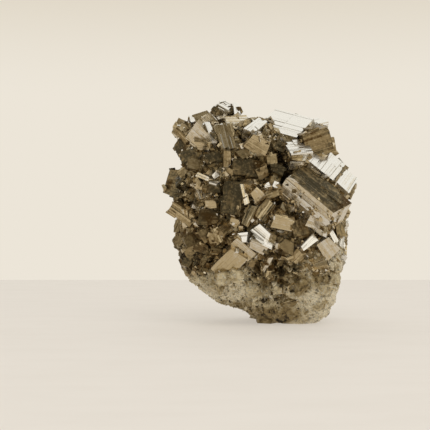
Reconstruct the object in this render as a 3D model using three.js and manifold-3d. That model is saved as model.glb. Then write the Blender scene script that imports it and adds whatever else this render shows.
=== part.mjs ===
// A cluster of pyrite: blocky, brassy crystals grown together on a rough
// granular base, all one solid. It rests on a small flat patch at z = 0.
// Millimetres, +X to the right, +Y to the back, +Z up.

import * as THREE from "three";
import { mergeVertices } from "three/addons/utils/BufferGeometryUtils.js";
import Module from "manifold-3d";

const wasm = await Module();
wasm.setup();
const { Manifold, Mesh } = wasm;
const { degToRad } = THREE.MathUtils;

// ---- driving dimensions -------------------------------------------------

const CORE_HEIGHT = 48;      // the middle of the base above the floor
const BASE_SHARPNESS = 12;   // higher makes the base's blunt edges crisper
const BASE_DETAIL = 8;       // facets along each edge of the base's icosphere
const LUMP = 0.014;          // the base's lumps, as a share of its radius
const ROUGHNESS = 1.5;       // how far the base's facets stand in or out, in all
const LEDGE_RISE = 0.8;      // how far the ledges stand off a striated face
const SEED = 7;

// The base's sides: the direction each one faces and its distance from the core.
const BASE_SIDES = [
  { faces: [0, 0, -1], reach: 55 },
  { faces: [-0.42, -0.1, -0.9], reach: 42 },
  { faces: [-0.93, 0, -0.36], reach: 42 },
  { faces: [-1, 0, 0], reach: 41 },
  { faces: [-0.98, 0, 0.18], reach: 42 },
  { faces: [-0.54, 0, 0.84], reach: 57 },
  { faces: [0, 0, 1], reach: 44 },
  { faces: [0.52, 0, 0.85], reach: 45 },
  { faces: [0.86, 0, 0.51], reach: 41 },
  { faces: [0.96, 0, -0.27], reach: 42.5 },
  { faces: [1, 0, 0], reach: 38.5 },
  { faces: [0.81, 0, -0.58], reach: 51.5 },
  { faces: [0, -1, 0], reach: 27 },
  { faces: [0.35, -0.6, 0.72], reach: 40.5 },
  { faces: [-0.3, -0.65, 0.7], reach: 45 },
  { faces: [0, -0.8, -0.6], reach: 38 },
  { faces: [-0.7, -0.7, 0], reach: 36 },
  { faces: [0.65, -0.75, 0], reach: 38 },
  { faces: [0.25, 1, 0], reach: 34.5 },
  { faces: [0.1, 0.6, 0.8], reach: 42 },
  { faces: [-0.55, 0.6, 0.58], reach: 30 },
  { faces: [-0.1, 0.7, -0.7], reach: 47 },
  { faces: [-0.75, 0.66, 0.1], reach: 26 },
  { faces: [0.7, 0.7, 0], reach: 45 },
];

// Crystals on the near side. at: where the middle of the broad face sits, across
// and up; out: how far it stands out of the base; looks: the way that face
// points; edge: the slope of its long edge in degrees; size: along that edge,
// across it, and into the base.
const FRONT_CRYSTALS = [
  { at: [23.4, 59], out: 8, looks: [0.3, -0.72, 0.63], edge: -41, size: [25, 12.2, 15], ledges: 4 },
  { at: [27.5, 71], out: 3, looks: [0.35, -0.5, 0.79], edge: -38, size: [16.5, 17.5, 10] },
  { at: [34, 66], out: 4.5, looks: [0.4, -0.5, 0.77], edge: -44, size: [10, 16, 16] },
  { at: [39, 59.5], out: 14, looks: [0.75, -0.6, 0.2], edge: 58, size: [9, 4, 10] },
  { at: [24.5, 79.5], out: 3.5, looks: [0.3, -0.94, -0.14], edge: 19, size: [12, 12, 14], ledges: 3 },
  { at: [29.5, 78], out: 14, looks: [0.35, -0.92, -0.14], edge: 18, size: [5.5, 7, 12] },
  { at: [11, 88.5], out: 5, looks: [-0.1, -0.6, 0.79], edge: -18, size: [19, 16.5, 16], ledges: 3 },
  { at: [1.5, 88], out: -1.5, looks: [-0.6, -0.78, 0.1], edge: -68, size: [5.5, 1.5, 8] },
  { at: [20.5, 88], out: 7, looks: [0.1, -0.5, 0.86], edge: 19, size: [19.5, 7, 12] },
  { at: [15, 77], out: 4.5, looks: [0.1, -0.6, 0.79], edge: 5, size: [10, 9, 8] },
  { at: [14, 73], out: 5, looks: [0.4, -0.9, 0.1], edge: 10, size: [5, 4, 7] },
  { at: [-3, 87], out: 3, looks: [0.1, -0.62, 0.78], edge: 40, size: [12, 5, 6] },
  { at: [-16, 91], out: -1, looks: [0.1, -0.95, 0.2], edge: -5, size: [12, 9, 10] },
  { at: [-19, 95.5], out: 0, looks: [-0.15, -0.98, 0.1], edge: 52, size: [8, 4.5, 8] },
  { at: [-15.5, 97.5], out: 0.5, looks: [0.2, -0.63, 0.75], edge: -32, size: [4.5, 4.5, 5] },
  { at: [-13.5, 95.5], out: 1, looks: [0.2, -0.97, 0.1], edge: -72, size: [4, 3, 5] },
  { at: [-18, 92.5], out: 1, looks: [-0.1, -0.63, 0.77], edge: 21, size: [4, 4.5, 5] },
  { at: [-11, 96], out: 0.5, looks: [0.25, -0.63, 0.73], edge: -82, size: [9, 2.5, 6] },
  { at: [-9, 95.5], out: 0.5, looks: [0.6, -0.75, 0.2], edge: -65, size: [3.5, 1.5, 5] },
  { at: [-11, 90], out: 3, looks: [0.1, -0.62, 0.78], edge: 1, size: [10, 7, 14] },
  { at: [-6.5, 88], out: 2, looks: [0.45, -0.88, 0.1], edge: 0, size: [4, 3, 5] },
  { at: [-28, 82], out: 5.5, looks: [-0.3, -0.9, -0.3], edge: -42, size: [7.5, 8, 18], ledges: 2 },
  { at: [-25.5, 87], out: 19, looks: [0.2, -0.7, 0.68], edge: -61, size: [7.5, 2.5, 12] },
  { at: [-22.5, 84], out: 4.5, looks: [0.3, -0.63, 0.72], edge: -69, size: [13, 2.5, 8] },
  { at: [-20, 82], out: 3.5, looks: [0.5, -0.85, 0.15], edge: -72, size: [4, 3, 7] },
  { at: [-35, 82.5], out: 8, looks: [-0.42, -0.85, -0.33], edge: -46, size: [10, 3, 10] },
  { at: [-36, 78], out: 1, looks: [-0.6, -0.78, 0.2], edge: -53, size: [9, 6, 8] },
  { at: [-35.5, 87], out: 0.5, looks: [-0.4, -0.85, 0.35], edge: -27, size: [9, 7.5, 8] },
  { at: [-31, 91.5], out: 1.5, looks: [0, -0.63, 0.78], edge: -71, size: [6, 2, 5] },
  { at: [-23, 91.5], out: 3, looks: [0, -0.63, 0.78], edge: -43, size: [7, 4.5, 6] },
  { at: [-24.5, 77.5], out: 0.5, looks: [0, -0.85, -0.52], edge: -5, size: [8.5, 3, 8] },
  { at: [-27, 92.5], out: 1, looks: [-0.1, -0.85, 0.5], edge: 20, size: [7, 4.5, 8] },
  { at: [-15.5, 83.5], out: 2, looks: [0.25, -0.96, 0.05], edge: -75, size: [13, 7, 9], ledges: 2 },
  { at: [-2.5, 77.5], out: 2, looks: [-0.1, -0.93, -0.35], edge: -30, size: [9, 7.5, 8] },
  { at: [-15.5, 72], out: 2, looks: [0.2, -0.9, -0.4], edge: 90, size: [7, 3.5, 6] },
  { at: [-21, 73], out: 2, looks: [0.1, -0.95, 0.3], edge: 10, size: [8, 4.5, 7] },
  { at: [-7, 68.5], out: 2, looks: [0.25, -0.95, 0.1], edge: -3, size: [12, 7, 8] },
  { at: [-13.5, 55.5], out: 3, looks: [-0.2, -0.95, 0.22], edge: 80, size: [14, 8, 9] },
  { at: [-8, 57], out: 2.5, looks: [0.45, -0.88, 0.12], edge: -78, size: [8.5, 2.5, 4] },
  { at: [-32.5, 74], out: 2, looks: [-0.3, -0.9, 0.3], edge: 20, size: [7, 5, 6] },
  { at: [-29.5, 70], out: 1.5, looks: [0.1, -0.95, 0.15], edge: -10, size: [6, 4, 6] },
  { at: [-8.5, 74.5], out: 2, looks: [0.2, -0.8, 0.5], edge: 30, size: [5, 4, 6] },
  { at: [-7, 62.5], out: 2, looks: [-0.2, -0.6, 0.75], edge: -15, size: [5, 4, 5] },
  { at: [-0.5, 66], out: 2, looks: [0.35, -0.85, -0.35], edge: 25, size: [5, 5, 6] },
  { at: [-38.5, 62.5], out: 2.5, looks: [-0.5, -0.85, 0.15], edge: -15, size: [10, 12, 10] },
  { at: [-26, 64.5], out: 2.5, looks: [-0.42, -0.88, 0.2], edge: -23, size: [7.5, 2.8, 6] },
  { at: [-21, 62.5], out: 1.5, looks: [0.1, -0.63, 0.77], edge: -20, size: [4, 3, 5] },
  { at: [-27, 60], out: 2, looks: [0, -0.9, -0.43], edge: 45, size: [4, 4, 5] },
  { at: [-21.5, 60.5], out: 2, looks: [0.1, -0.97, 0.2], edge: 0, size: [5, 5.5, 6] },
  { at: [-35, 55.5], out: 3, looks: [-0.2, -0.95, 0.25], edge: -5, size: [8, 5, 7] },
  { at: [-31, 57.5], out: 2, looks: [0.3, -0.85, 0.3], edge: 60, size: [5, 4, 6] },
  { at: [-35, 48.5], out: 6, looks: [-0.3, -0.88, -0.36], edge: -35, size: [12, 6, 8], ledges: 2 },
  { at: [-33.5, 51.5], out: 5, looks: [-0.1, -0.6, 0.8], edge: -25, size: [5.5, 3, 5] },
  { at: [-23.5, 47.5], out: 2, looks: [0, -0.97, 0.25], edge: 0, size: [8, 6.5, 8] },
  { at: [-22.5, 52.5], out: 2, looks: [0, -0.88, -0.48], edge: 5, size: [4.5, 4, 5] },
  { at: [-27.5, 44], out: 2, looks: [-0.2, -0.6, 0.77], edge: -30, size: [5, 5, 5] },
  { at: [-12.5, 45], out: 2, looks: [0, -0.9, -0.43], edge: -20, size: [4, 3.5, 5] },
  { at: [-16.5, 42.5], out: 2, looks: [0.3, -0.7, 0.6], edge: 40, size: [5, 4, 5] },
  { at: [-6.5, 48], out: 3, looks: [-0.3, -0.9, 0.3], edge: 65, size: [9, 3.5, 6] },
  { at: [-2.5, 56.5], out: 2, looks: [0.2, -0.9, -0.3], edge: -50, size: [6, 5, 6] },
  { at: [3.5, 58], out: 2, looks: [-0.38, -0.9, 0.2], edge: 20, size: [6, 5, 6] },
  { at: [5.5, 64], out: 1, looks: [0.4, -0.85, 0.3], edge: 70, size: [6, 4, 6] },
  { at: [-19.5, 39.5], out: 2, looks: [-0.4, -0.9, 0.1], edge: -65, size: [7, 3, 6] },
  { at: [-36.5, 37.5], out: 2, looks: [-0.6, -0.75, 0.25], edge: 40, size: [7, 6, 7] },
  { at: [-30.5, 37.5], out: 1, looks: [0.1, -0.95, 0.25], edge: 15, size: [7, 5, 6] },
  { at: [-26.5, 34], out: 1, looks: [-0.3, -0.85, -0.4], edge: -25, size: [6, 5, 6] },
  { at: [-32.5, 28.5], out: 0.5, looks: [-0.4, -0.8, 0.4], edge: 60, size: [6, 5, 6] },
  { at: [-25, 39.5], out: 1.5, looks: [0.3, -0.9, 0.2], edge: -60, size: [6, 4, 5] },
  { at: [-15, 27], out: 2.5, looks: [-0.1, -0.84, -0.53], edge: 46, size: [14.5, 9, 9] },
  { at: [-18, 20.5], out: 3, looks: [-0.2, -0.8, -0.3], edge: 8, size: [10, 6, 8] },
  { at: [-11, 21.5], out: 3, looks: [0.1, -0.8, -0.2], edge: -12, size: [8, 6, 7] },
  { at: [-9, 33.5], out: 2.5, looks: [0.1, -0.9, -0.42], edge: -41, size: [11.5, 5, 8] },
  { at: [-10, 38.5], out: 3, looks: [-0.4, -0.9, 0.17], edge: 8, size: [6.5, 4, 6] },
  { at: [-6, 40.5], out: 2, looks: [0.2, -0.97, 0.1], edge: 85, size: [6, 2.5, 5] },
  { at: [-1, 40.5], out: 5.5, looks: [-0.4, -0.9, 0.17], edge: -41, size: [8, 4.5, 8] },
  { at: [2.5, 39], out: 4.5, looks: [0.3, -0.9, 0.3], edge: -38, size: [5.5, 4.5, 8] },
  { at: [-1, 37], out: 6, looks: [-0.38, -0.9, 0.2], edge: -26, size: [10.5, 2.5, 8] },
  { at: [3, 36], out: 4, looks: [0.3, -0.8, -0.5], edge: -30, size: [4.5, 3.5, 5] },
  { at: [-2.5, 34.5], out: 5.5, looks: [-0.15, -0.86, -0.48], edge: -24, size: [7.5, 4.5, 8] },
  { at: [0, 50.5], out: 4, looks: [-0.35, -0.92, 0.15], edge: 55, size: [9, 5, 8] },
  { at: [3.5, 72], out: 1, looks: [0.3, -0.95, 0.1], edge: 5, size: [5, 4.5, 6] },
  { at: [8, 44.5], out: 4.5, looks: [0.1, -0.88, -0.45], edge: -13, size: [9.5, 6, 8] },
  { at: [24, 44.5], out: 4.5, looks: [0.3, -0.87, -0.38], edge: -19, size: [12.5, 6, 8] },
  { at: [15.5, 43], out: 4, looks: [0.3, -0.93, 0.2], edge: -70, size: [7, 6, 8] },
  { at: [19, 36.5], out: 4, looks: [0.45, -0.88, 0.12], edge: 40, size: [8.5, 3, 6] },
  { at: [33, 42.5], out: 3, looks: [0.5, -0.85, 0.15], edge: -80, size: [7, 4, 6] },
  { at: [30, 39], out: 2.5, looks: [0.45, -0.88, 0.1], edge: -61, size: [6, 2.5, 6] },
  { at: [27.5, 34], out: 2.5, looks: [0.3, -0.87, -0.38], edge: -50, size: [9.5, 7, 8] },
  { at: [34.5, 38.5], out: 0.5, looks: [0.7, -0.7, 0.05], edge: 78, size: [8.5, 3.5, 6] },
  { at: [23.5, 28.5], out: 1, looks: [-0.2, -0.8, 0.5], edge: 20, size: [6, 5, 6] },
  { at: [10, 35], out: 2, looks: [0.3, -0.9, 0.25], edge: -30, size: [6, 5, 6] },
  { at: [14, 30.5], out: 1.5, looks: [-0.4, -0.85, -0.3], edge: 50, size: [6, 4, 6] },
  { at: [1.5, 27], out: 2, looks: [0.3, -0.85, -0.4], edge: 63, size: [7, 2, 8] },
  { at: [5.5, 16], out: 1, looks: [0, -0.9, -0.43], edge: 0, size: [5, 4, 6] },
  { at: [17.5, 19.5], out: 1, looks: [0.3, -0.8, 0.5], edge: 25, size: [6, 5, 6] },
  { at: [27, 16], out: 1, looks: [0.5, -0.8, -0.3], edge: -20, size: [7, 6, 7] },
  { at: [-5, 18], out: 1, looks: [-0.2, -0.75, 0.6], edge: 10, size: [6, 4, 6] },
  { at: [-22, 19.5], out: 0.5, looks: [-0.4, -0.7, 0.5], edge: -30, size: [6, 5, 6] },
  { at: [32.5, 21.5], out: 0, looks: [0.8, -0.55, 0.2], edge: 10, size: [6, 6, 6] },
  { at: [12, 9.5], out: 0.5, looks: [0.1, -0.7, -0.7], edge: 15, size: [8, 5, 6] },
  { at: [26.5, 8.5], out: 0, looks: [0.7, -0.6, -0.3], edge: 30, size: [7, 6, 7] },
  { at: [-37, 44], out: 0.5, looks: [-0.75, -0.6, 0.25], edge: 75, size: [7, 5, 6] },
  { at: [-34.5, 67], out: 1, looks: [-0.5, -0.8, 0.3], edge: 35, size: [5, 4, 6] },
  { at: [-31, 32], out: 1, looks: [-0.3, -0.9, -0.3], edge: 30, size: [6, 5, 6] },
  { at: [-20, 33.5], out: 1, looks: [0.2, -0.85, 0.5], edge: -10, size: [5, 3, 5] },
  { at: [-12.5, 21.5], out: 0.5, looks: [-0.2, -0.8, -0.55], edge: 20, size: [6, 4, 5] },
];

// Hollows in the near side between the crystals.
const FRONT_PITS = [
  { at: [8, 69.5], size: [8, 14, 8], turn: 12 },
  { at: [-8, 82], size: [6, 6, 7], turn: 30 },
  { at: [4.5, 25.5], size: [14, 9, 10], turn: 35 },
  { at: [31, 24], size: [4, 4, 5], turn: 20 },
  { at: [7.5, 12.5], size: [4, 3.5, 5], turn: 40 },
];

// Larger crystals round the sides, top and back: the compass direction each
// grows in (90 is straight back), its rise, how far it stands out, its turn and
// lean, and its size.
const ROUND_CRYSTALS = [
  { bearing: 86, rise: 2, out: 2.5, turn: 20, lean: [0.2, 0, 0.3], size: [21, 16, 12] },
  { bearing: 58, rise: 28, out: 3.5, turn: 50, lean: [0, 0.3, 0.2], size: [18, 14, 12] },
  { bearing: 112, rise: 32, out: 3, turn: -15, lean: [0.3, 0, 0.1], size: [16, 12, 12] },
  { bearing: 130, rise: -10, out: 4, turn: 70, lean: [0.3, 0.2, 0.2], size: [16, 12, 13] },
  { bearing: 50, rise: -14, out: 3, turn: 10, lean: [-0.2, 0.2, 0.3], size: [15, 13, 12] },
  { bearing: 96, rise: -32, out: 3, turn: 35, lean: [-0.2, 0.2, 0.4], size: [14, 11, 10] },
  { bearing: 84, rise: 60, out: 3, turn: 5, lean: [0.2, -0.2, 0], size: [17, 12, 11] },
  { bearing: 30, rise: 8, out: 2, turn: 40, lean: [0, -0.3, 0.2], size: [14, 12, 10] },
  { bearing: 156, rise: 14, out: 3, turn: 25, lean: [0, 0.4, 0.2], size: [14, 11, 10] },
  { bearing: 12, rise: -20, out: 0, turn: 65, lean: [0, 0.3, 0.3], size: [11, 9, 8] },
  { bearing: 176, rise: -10, out: 1.5, turn: 15, lean: [0, 0.2, -0.3], size: [12, 9, 8] },
  { bearing: 52, rise: -44, out: 1.5, turn: 55, lean: [0.3, 0, 0.2], size: [12, 10, 8] },
  { bearing: 140, rise: 46, out: 2.5, turn: 30, lean: [-0.2, 0.3, 0], size: [13, 10, 10] },
  { bearing: 70, rise: -4, out: 2, turn: 80, lean: [-0.3, 0, -0.2], size: [12, 9, 10] },
  { bearing: 104, rise: 14, out: 3.5, turn: 60, lean: [-0.3, 0, 0.3], size: [13, 10, 11] },
  { bearing: 34, rise: 40, out: 2, turn: 15, lean: [0.1, 0.3, -0.2], size: [12, 10, 9] },
  { bearing: 110, rise: -16, out: 2, turn: 5, lean: [0.1, 0, -0.4], size: [11, 8, 9] },
  { bearing: 30, rise: -30, out: 2, turn: 30, lean: [0.2, -0.3, 0.2], size: [12, 9, 9] },
];

// Low crystals at the left end of the resting patch that keep the cluster upright.
const FEET = [
  { at: [3, 19, 3.5], size: [13, 9, 9], turn: 24 },
  { at: [2, -4, 1.5], size: [8, 6, 5], turn: -20 },
];

// Small crystals strewn over the whole cluster.
const SMALL_COUNT = 90;
const SMALL_SIZE = [3, 6];
const SMALL_OUT = [0.4, 1.8];
const SMALL_TILT = 1.3;      // how far they lean off the surface

// ---- small helpers ------------------------------------------------------

// A repeatable stream of numbers from 0 to 1.
function makeRandom(seed) {
  let state = seed >>> 0;
  return () => {
    state = (Math.imul(state, 1664525) + 1013904223) >>> 0;
    return state / 4294967296;
  };
}

const between = (random, [low, high]) => low + (high - low) * random();

// A closed solid from a three.js geometry, optionally placed by a matrix.
function toSolid(geometry, matrix) {
  const bare = geometry.clone();
  bare.deleteAttribute("normal");
  bare.deleteAttribute("uv");
  const merged = mergeVertices(bare, 1e-5);
  if (matrix) merged.applyMatrix4(matrix);
  return new Manifold(new Mesh({
    numProp: 3,
    vertProperties: Float32Array.from(merged.attributes.position.array),
    triVerts: Uint32Array.from(merged.index.array),
  }));
}

// The geometry of a closed solid, for a three.js mesh.
function toGeometry(solid) {
  const mesh = solid.getMesh();
  const geometry = new THREE.BufferGeometry();
  geometry.setAttribute("position", new THREE.BufferAttribute(mesh.vertProperties, 3));
  geometry.setIndex(new THREE.BufferAttribute(mesh.triVerts, 1));
  geometry.computeVertexNormals();
  return geometry;
}

// ---- the granular base --------------------------------------------------

const core = new THREE.Vector3(0, 0, CORE_HEIGHT);
const sides = BASE_SIDES.map(({ faces, reach }) => ({
  normal: new THREE.Vector3(...faces).normalize(),
  reach,
}));

// The base's radius from the core in one direction: a soft blend of its sides,
// with a few broad lumps.
function baseRadius(direction) {
  let sum = 0;
  for (const { normal, reach } of sides) {
    const share = normal.dot(direction) / reach;
    if (share > 0) sum += share ** BASE_SHARPNESS;
  }
  const { x, y, z } = direction;
  const lumps = Math.sin(9 * x + 4 * z) * Math.sin(8 * y - 5 * z)
    + 0.6 * Math.sin(17 * x - 9 * y) * Math.cos(15 * z + 6 * x);
  return sum ** (-1 / BASE_SHARPNESS) * (1 + LUMP * lumps);
}

function buildBase() {
  const geometry = new THREE.IcosahedronGeometry(1, BASE_DETAIL - 1);
  geometry.deleteAttribute("normal");
  geometry.deleteAttribute("uv");
  const shape = mergeVertices(geometry, 1e-5);
  const position = shape.attributes.position;
  const point = new THREE.Vector3();
  const random = makeRandom(SEED);
  for (let i = 0; i < position.count; i += 1) {
    point.fromBufferAttribute(position, i).normalize();
    point.multiplyScalar(baseRadius(point) + ROUGHNESS * (random() - 0.5)).add(core);
    position.setXYZ(i, point.x, point.y, point.z);
  }
  return toSolid(shape);
}

// Where a line running straight back at (x, z) first meets the base.
// Beside the base it gives the plane through the core.
function frontOfBase(x, z) {
  const probe = new THREE.Vector3();
  const inside = (y) => {
    probe.set(x, y, z).sub(core);
    const distance = probe.length();
    return distance < baseRadius(probe.normalize());
  };
  let far = -50;
  while (far < 0 && !inside(far)) far += 1;
  let near = far - 1;
  while (far < 0 && far - near > 0.01) {
    const middle = (near + far) / 2;
    if (inside(middle)) far = middle;
    else near = middle;
  }
  return far;
}

// ---- crystals -----------------------------------------------------------

// A placing matrix: local x runs along the long edge, z along the face's normal.
function facing(centre, normal, alongEdge) {
  const across = new THREE.Vector3().crossVectors(normal, alongEdge).normalize();
  return new THREE.Matrix4().makeBasis(alongEdge, across, normal).setPosition(centre);
}

// One blocky crystal with its broad face at local z = 0, slightly narrower
// towards that face, so that no two crystals' sides are quite in line.
function crystalSolid([along, across, depth], matrix) {
  const geometry = new THREE.BoxGeometry(along, across, depth);
  const position = geometry.attributes.position;
  for (let i = 0; i < position.count; i += 1) {
    const taper = position.getZ(i) > 0 ? 1 : 1.03;
    position.setXYZ(i, position.getX(i) * taper, position.getY(i) * taper,
      position.getZ(i) - depth / 2);
  }
  return toSolid(geometry, matrix);
}

// The long edge's direction: at right angles to the normal, and sloping at
// the given angle when seen from the front.
function edgeSeenFromFront(normal, degrees) {
  const angle = degToRad(degrees);
  const upright = new THREE.Vector3(-Math.sin(angle), 0, Math.cos(angle));
  return new THREE.Vector3().crossVectors(normal, upright).normalize().negate();
}

// Long flat ledges that stand on a crystal's broad face, alternately high and low.
function ledgeSolids([along, across], count, matrix) {
  const pitch = across / count;
  return Array.from({ length: count }, (_, i) => {
    const rise = LEDGE_RISE * (i % 2 ? 0.5 : 1);
    const length = along * (i % 2 ? 0.9 : 0.97);
    const ledge = new THREE.BoxGeometry(length, pitch * 0.62, 2 * rise);
    ledge.translate((along - length) / 2 * (i % 3 - 1), pitch * (i + 0.5) - across / 2, 0);
    return toSolid(ledge, matrix);
  });
}

const frontCentre = ({ at: [x, z], out }) => new THREE.Vector3(x, frontOfBase(x, z) - out, z);

function frontCrystal(crystal) {
  const { looks, edge, size, ledges = 0 } = crystal;
  const normal = new THREE.Vector3(...looks).normalize();
  const centre = frontCentre(crystal);
  const matrix = facing(centre, normal, edgeSeenFromFront(normal, edge));
  return Manifold.union([
    crystalSolid(size, matrix),
    ...ledgeSolids(size, ledges, matrix),
  ]);
}

// The point that stands a little way out of the base in one direction.
const radialCentre = (direction, out) => direction.clone()
  .multiplyScalar(baseRadius(direction) + out).add(core);

// A crystal that grows out of the base in one direction and looks another way.
function radialCrystal(direction, looks, out, turn, size) {
  const centre = radialCentre(direction, out);
  const level = new THREE.Vector3(-looks.y, looks.x, 0.2);
  const along = level.projectOnPlane(looks).normalize().applyAxisAngle(looks, turn);
  return crystalSolid(size, facing(centre, looks, along));
}

function roundCrystal({ bearing, rise, out, turn, lean, size }) {
  const around = degToRad(bearing);
  const up = degToRad(rise);
  const direction = new THREE.Vector3(
    Math.cos(around) * Math.cos(up), Math.sin(around) * Math.cos(up), Math.sin(up));
  const looks = direction.clone().add(new THREE.Vector3(...lean)).normalize();
  return radialCrystal(direction, looks, out, degToRad(turn), size);
}

// The small crystals fill the room between the larger ones of the near side.
function smallCrystals() {
  const random = makeRandom(SEED);
  const crystals = [];
  const taken = FRONT_CRYSTALS.map((crystal) => ({
    centre: frontCentre(crystal),
    room: 0.5 * crystal.size[1],
  }));
  const isTaken = (point) => taken.some(({ centre, room }) => point.distanceTo(centre) < room);
  const turns = Math.PI * (3 - Math.sqrt(5));
  for (let i = 0; i < SMALL_COUNT; i += 1) {
    const height = 1 - (2 * i + 1) / SMALL_COUNT;
    const ring = Math.sqrt(1 - height * height);
    const direction = new THREE.Vector3(
      ring * Math.cos(i * turns) + 0.2 * (random() - 0.5),
      ring * Math.sin(i * turns) + 0.2 * (random() - 0.5),
      height + 0.2 * (random() - 0.5)).normalize();
    const looks = new THREE.Vector3(random() - 0.5, random() - 0.5, random() - 0.5)
      .multiplyScalar(SMALL_TILT).add(direction).normalize();
    const side = between(random, SMALL_SIZE) * (direction.z < -0.4 ? 0.6 : 1);
    const out = between(random, SMALL_OUT);
    const turn = random() * Math.PI;
    const size = [side, side * between(random, [0.6, 1]), side * 1.2];
    if (direction.z < -0.75 || isTaken(radialCentre(direction, out))) continue;
    crystals.push(radialCrystal(direction, looks, out, turn, size));
  }
  return crystals;
}

function frontPit({ at: [x, z], size, turn }) {
  const [across, up, deep] = size;
  const matrix = new THREE.Matrix4().makeRotationY(degToRad(turn));
  matrix.setPosition(x, frontOfBase(x, z), z);
  return toSolid(new THREE.BoxGeometry(across, 2 * deep, up), matrix);
}

function footCrystal({ at, size, turn }) {
  const matrix = new THREE.Matrix4().makeRotationZ(degToRad(turn)).setPosition(...at);
  return toSolid(new THREE.BoxGeometry(...size), matrix);
}

// ---- the cluster --------------------------------------------------------

function buildCluster() {
  const base = Manifold.union([buildBase(), ...smallCrystals()]);
  const pits = Manifold.union(FRONT_PITS.map(frontPit));
  const crystals = Manifold.union([
    ...FRONT_CRYSTALS.map(frontCrystal),
    ...ROUND_CRYSTALS.map(roundCrystal),
    ...FEET.map(footCrystal),
  ]);
  const aboveFloor = toSolid(new THREE.BoxGeometry(300, 300, 200).translate(0, 0, 100));
  return withoutVoids(base.subtract(pits).add(crystals).intersect(aboveFloor));
}

// The outer body alone: gaps closed in between crystals are filled.
function withoutVoids(solid) {
  return solid.decompose().reduce((a, b) => (a.volume() > b.volume() ? a : b));
}

// The solid's geometry, moved sideways so that its box is centred on the origin.
function centredGeometry(solid) {
  const geometry = toGeometry(solid);
  geometry.computeBoundingBox();
  const middle = geometry.boundingBox.getCenter(new THREE.Vector3());
  return geometry.translate(-middle.x, -middle.y, 0);
}

const pyrite = new THREE.MeshStandardMaterial({
  color: 0xa89a7c, roughness: 0.3, metalness: 1,
});

const cluster = new THREE.Group();
cluster.name = "pyrite";
const mesh = new THREE.Mesh(centredGeometry(buildCluster()), pyrite);
mesh.name = "pyrite_cluster";
cluster.add(mesh);

export default cluster;
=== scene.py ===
"""A cluster of pyrite: blocky striated crystals grown together on a granular base.

Lengths in this file are in millimetres until a mesh is written, which is in metres.
+X is to the right, +Y to the back and +Z up, and the cluster rests on z = 0.
"""

import logging
from dataclasses import dataclass
from enum import Enum
from typing import Any, Sequence

import bpy
import numpy as np
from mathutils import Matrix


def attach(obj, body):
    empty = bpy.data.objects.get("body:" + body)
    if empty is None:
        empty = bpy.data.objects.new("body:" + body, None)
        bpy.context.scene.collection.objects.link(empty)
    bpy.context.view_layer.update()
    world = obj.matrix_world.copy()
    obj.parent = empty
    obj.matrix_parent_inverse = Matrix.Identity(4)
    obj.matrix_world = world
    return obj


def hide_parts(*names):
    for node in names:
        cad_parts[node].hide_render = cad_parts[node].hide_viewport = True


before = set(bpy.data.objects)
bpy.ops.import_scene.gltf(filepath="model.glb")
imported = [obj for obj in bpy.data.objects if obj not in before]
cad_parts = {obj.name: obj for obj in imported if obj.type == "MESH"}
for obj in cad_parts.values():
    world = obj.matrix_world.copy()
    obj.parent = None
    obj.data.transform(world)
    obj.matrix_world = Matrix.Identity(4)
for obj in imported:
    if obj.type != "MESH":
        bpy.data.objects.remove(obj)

Array = np.ndarray
Pair = tuple[float, float]
Triple = tuple[float, float, float]
Color = tuple[float, float, float, float]

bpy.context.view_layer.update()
NODE = "pyrite_cluster"
METRES = 0.001
CENTRING = np.array([0.89, -0.16, 0.0])  # from the core's axis to the box's
LUMPS_BELOW = 23.0  # crystals lower than this are dull and granular
LOWEST_MIDDLE = 0.8  # small crystals keep their middles this high, clear of the floor
EMBEDDED = 0.4  # how far small things sink into a face that they touch
BARE_DEPTH = (1.0, 6.0)  # how deep a crystal's face may lie in the bed and stay bare,
BARE_LENGTH = (9.0, 15.0)  # for crystals between these lengths
NEARLY_ZERO = 1e-6  # stands in for nought where something is divided by it

log = logging.getLogger("pyrite")


# ---- shader maths -------------------------------------------------------------


class Wire:
    """A socket's value, which takes part in sums as a number does."""

    def __init__(self, graph: "Graph", socket: bpy.types.NodeSocket) -> None:
        """Keep the socket and the graph that it belongs to."""
        self.graph = graph
        self.socket = socket

    def _math(self, operation: str, *values: Any) -> "Wire":
        """Add one Math node over the given values."""
        return self.graph.node("ShaderNodeMath", {"operation": operation}, values)

    def __add__(self, other: Any) -> "Wire":
        """Sum."""
        return self._math("ADD", self, other)

    __radd__ = __add__

    def __mul__(self, other: Any) -> "Wire":
        """Product."""
        return self._math("MULTIPLY", self, other)

    __rmul__ = __mul__

    def __sub__(self, other: Any) -> "Wire":
        """Difference."""
        return self._math("SUBTRACT", self, other)

    def __rsub__(self, other: Any) -> "Wire":
        """Difference from a plain number."""
        return self._math("SUBTRACT", other, self)


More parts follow.
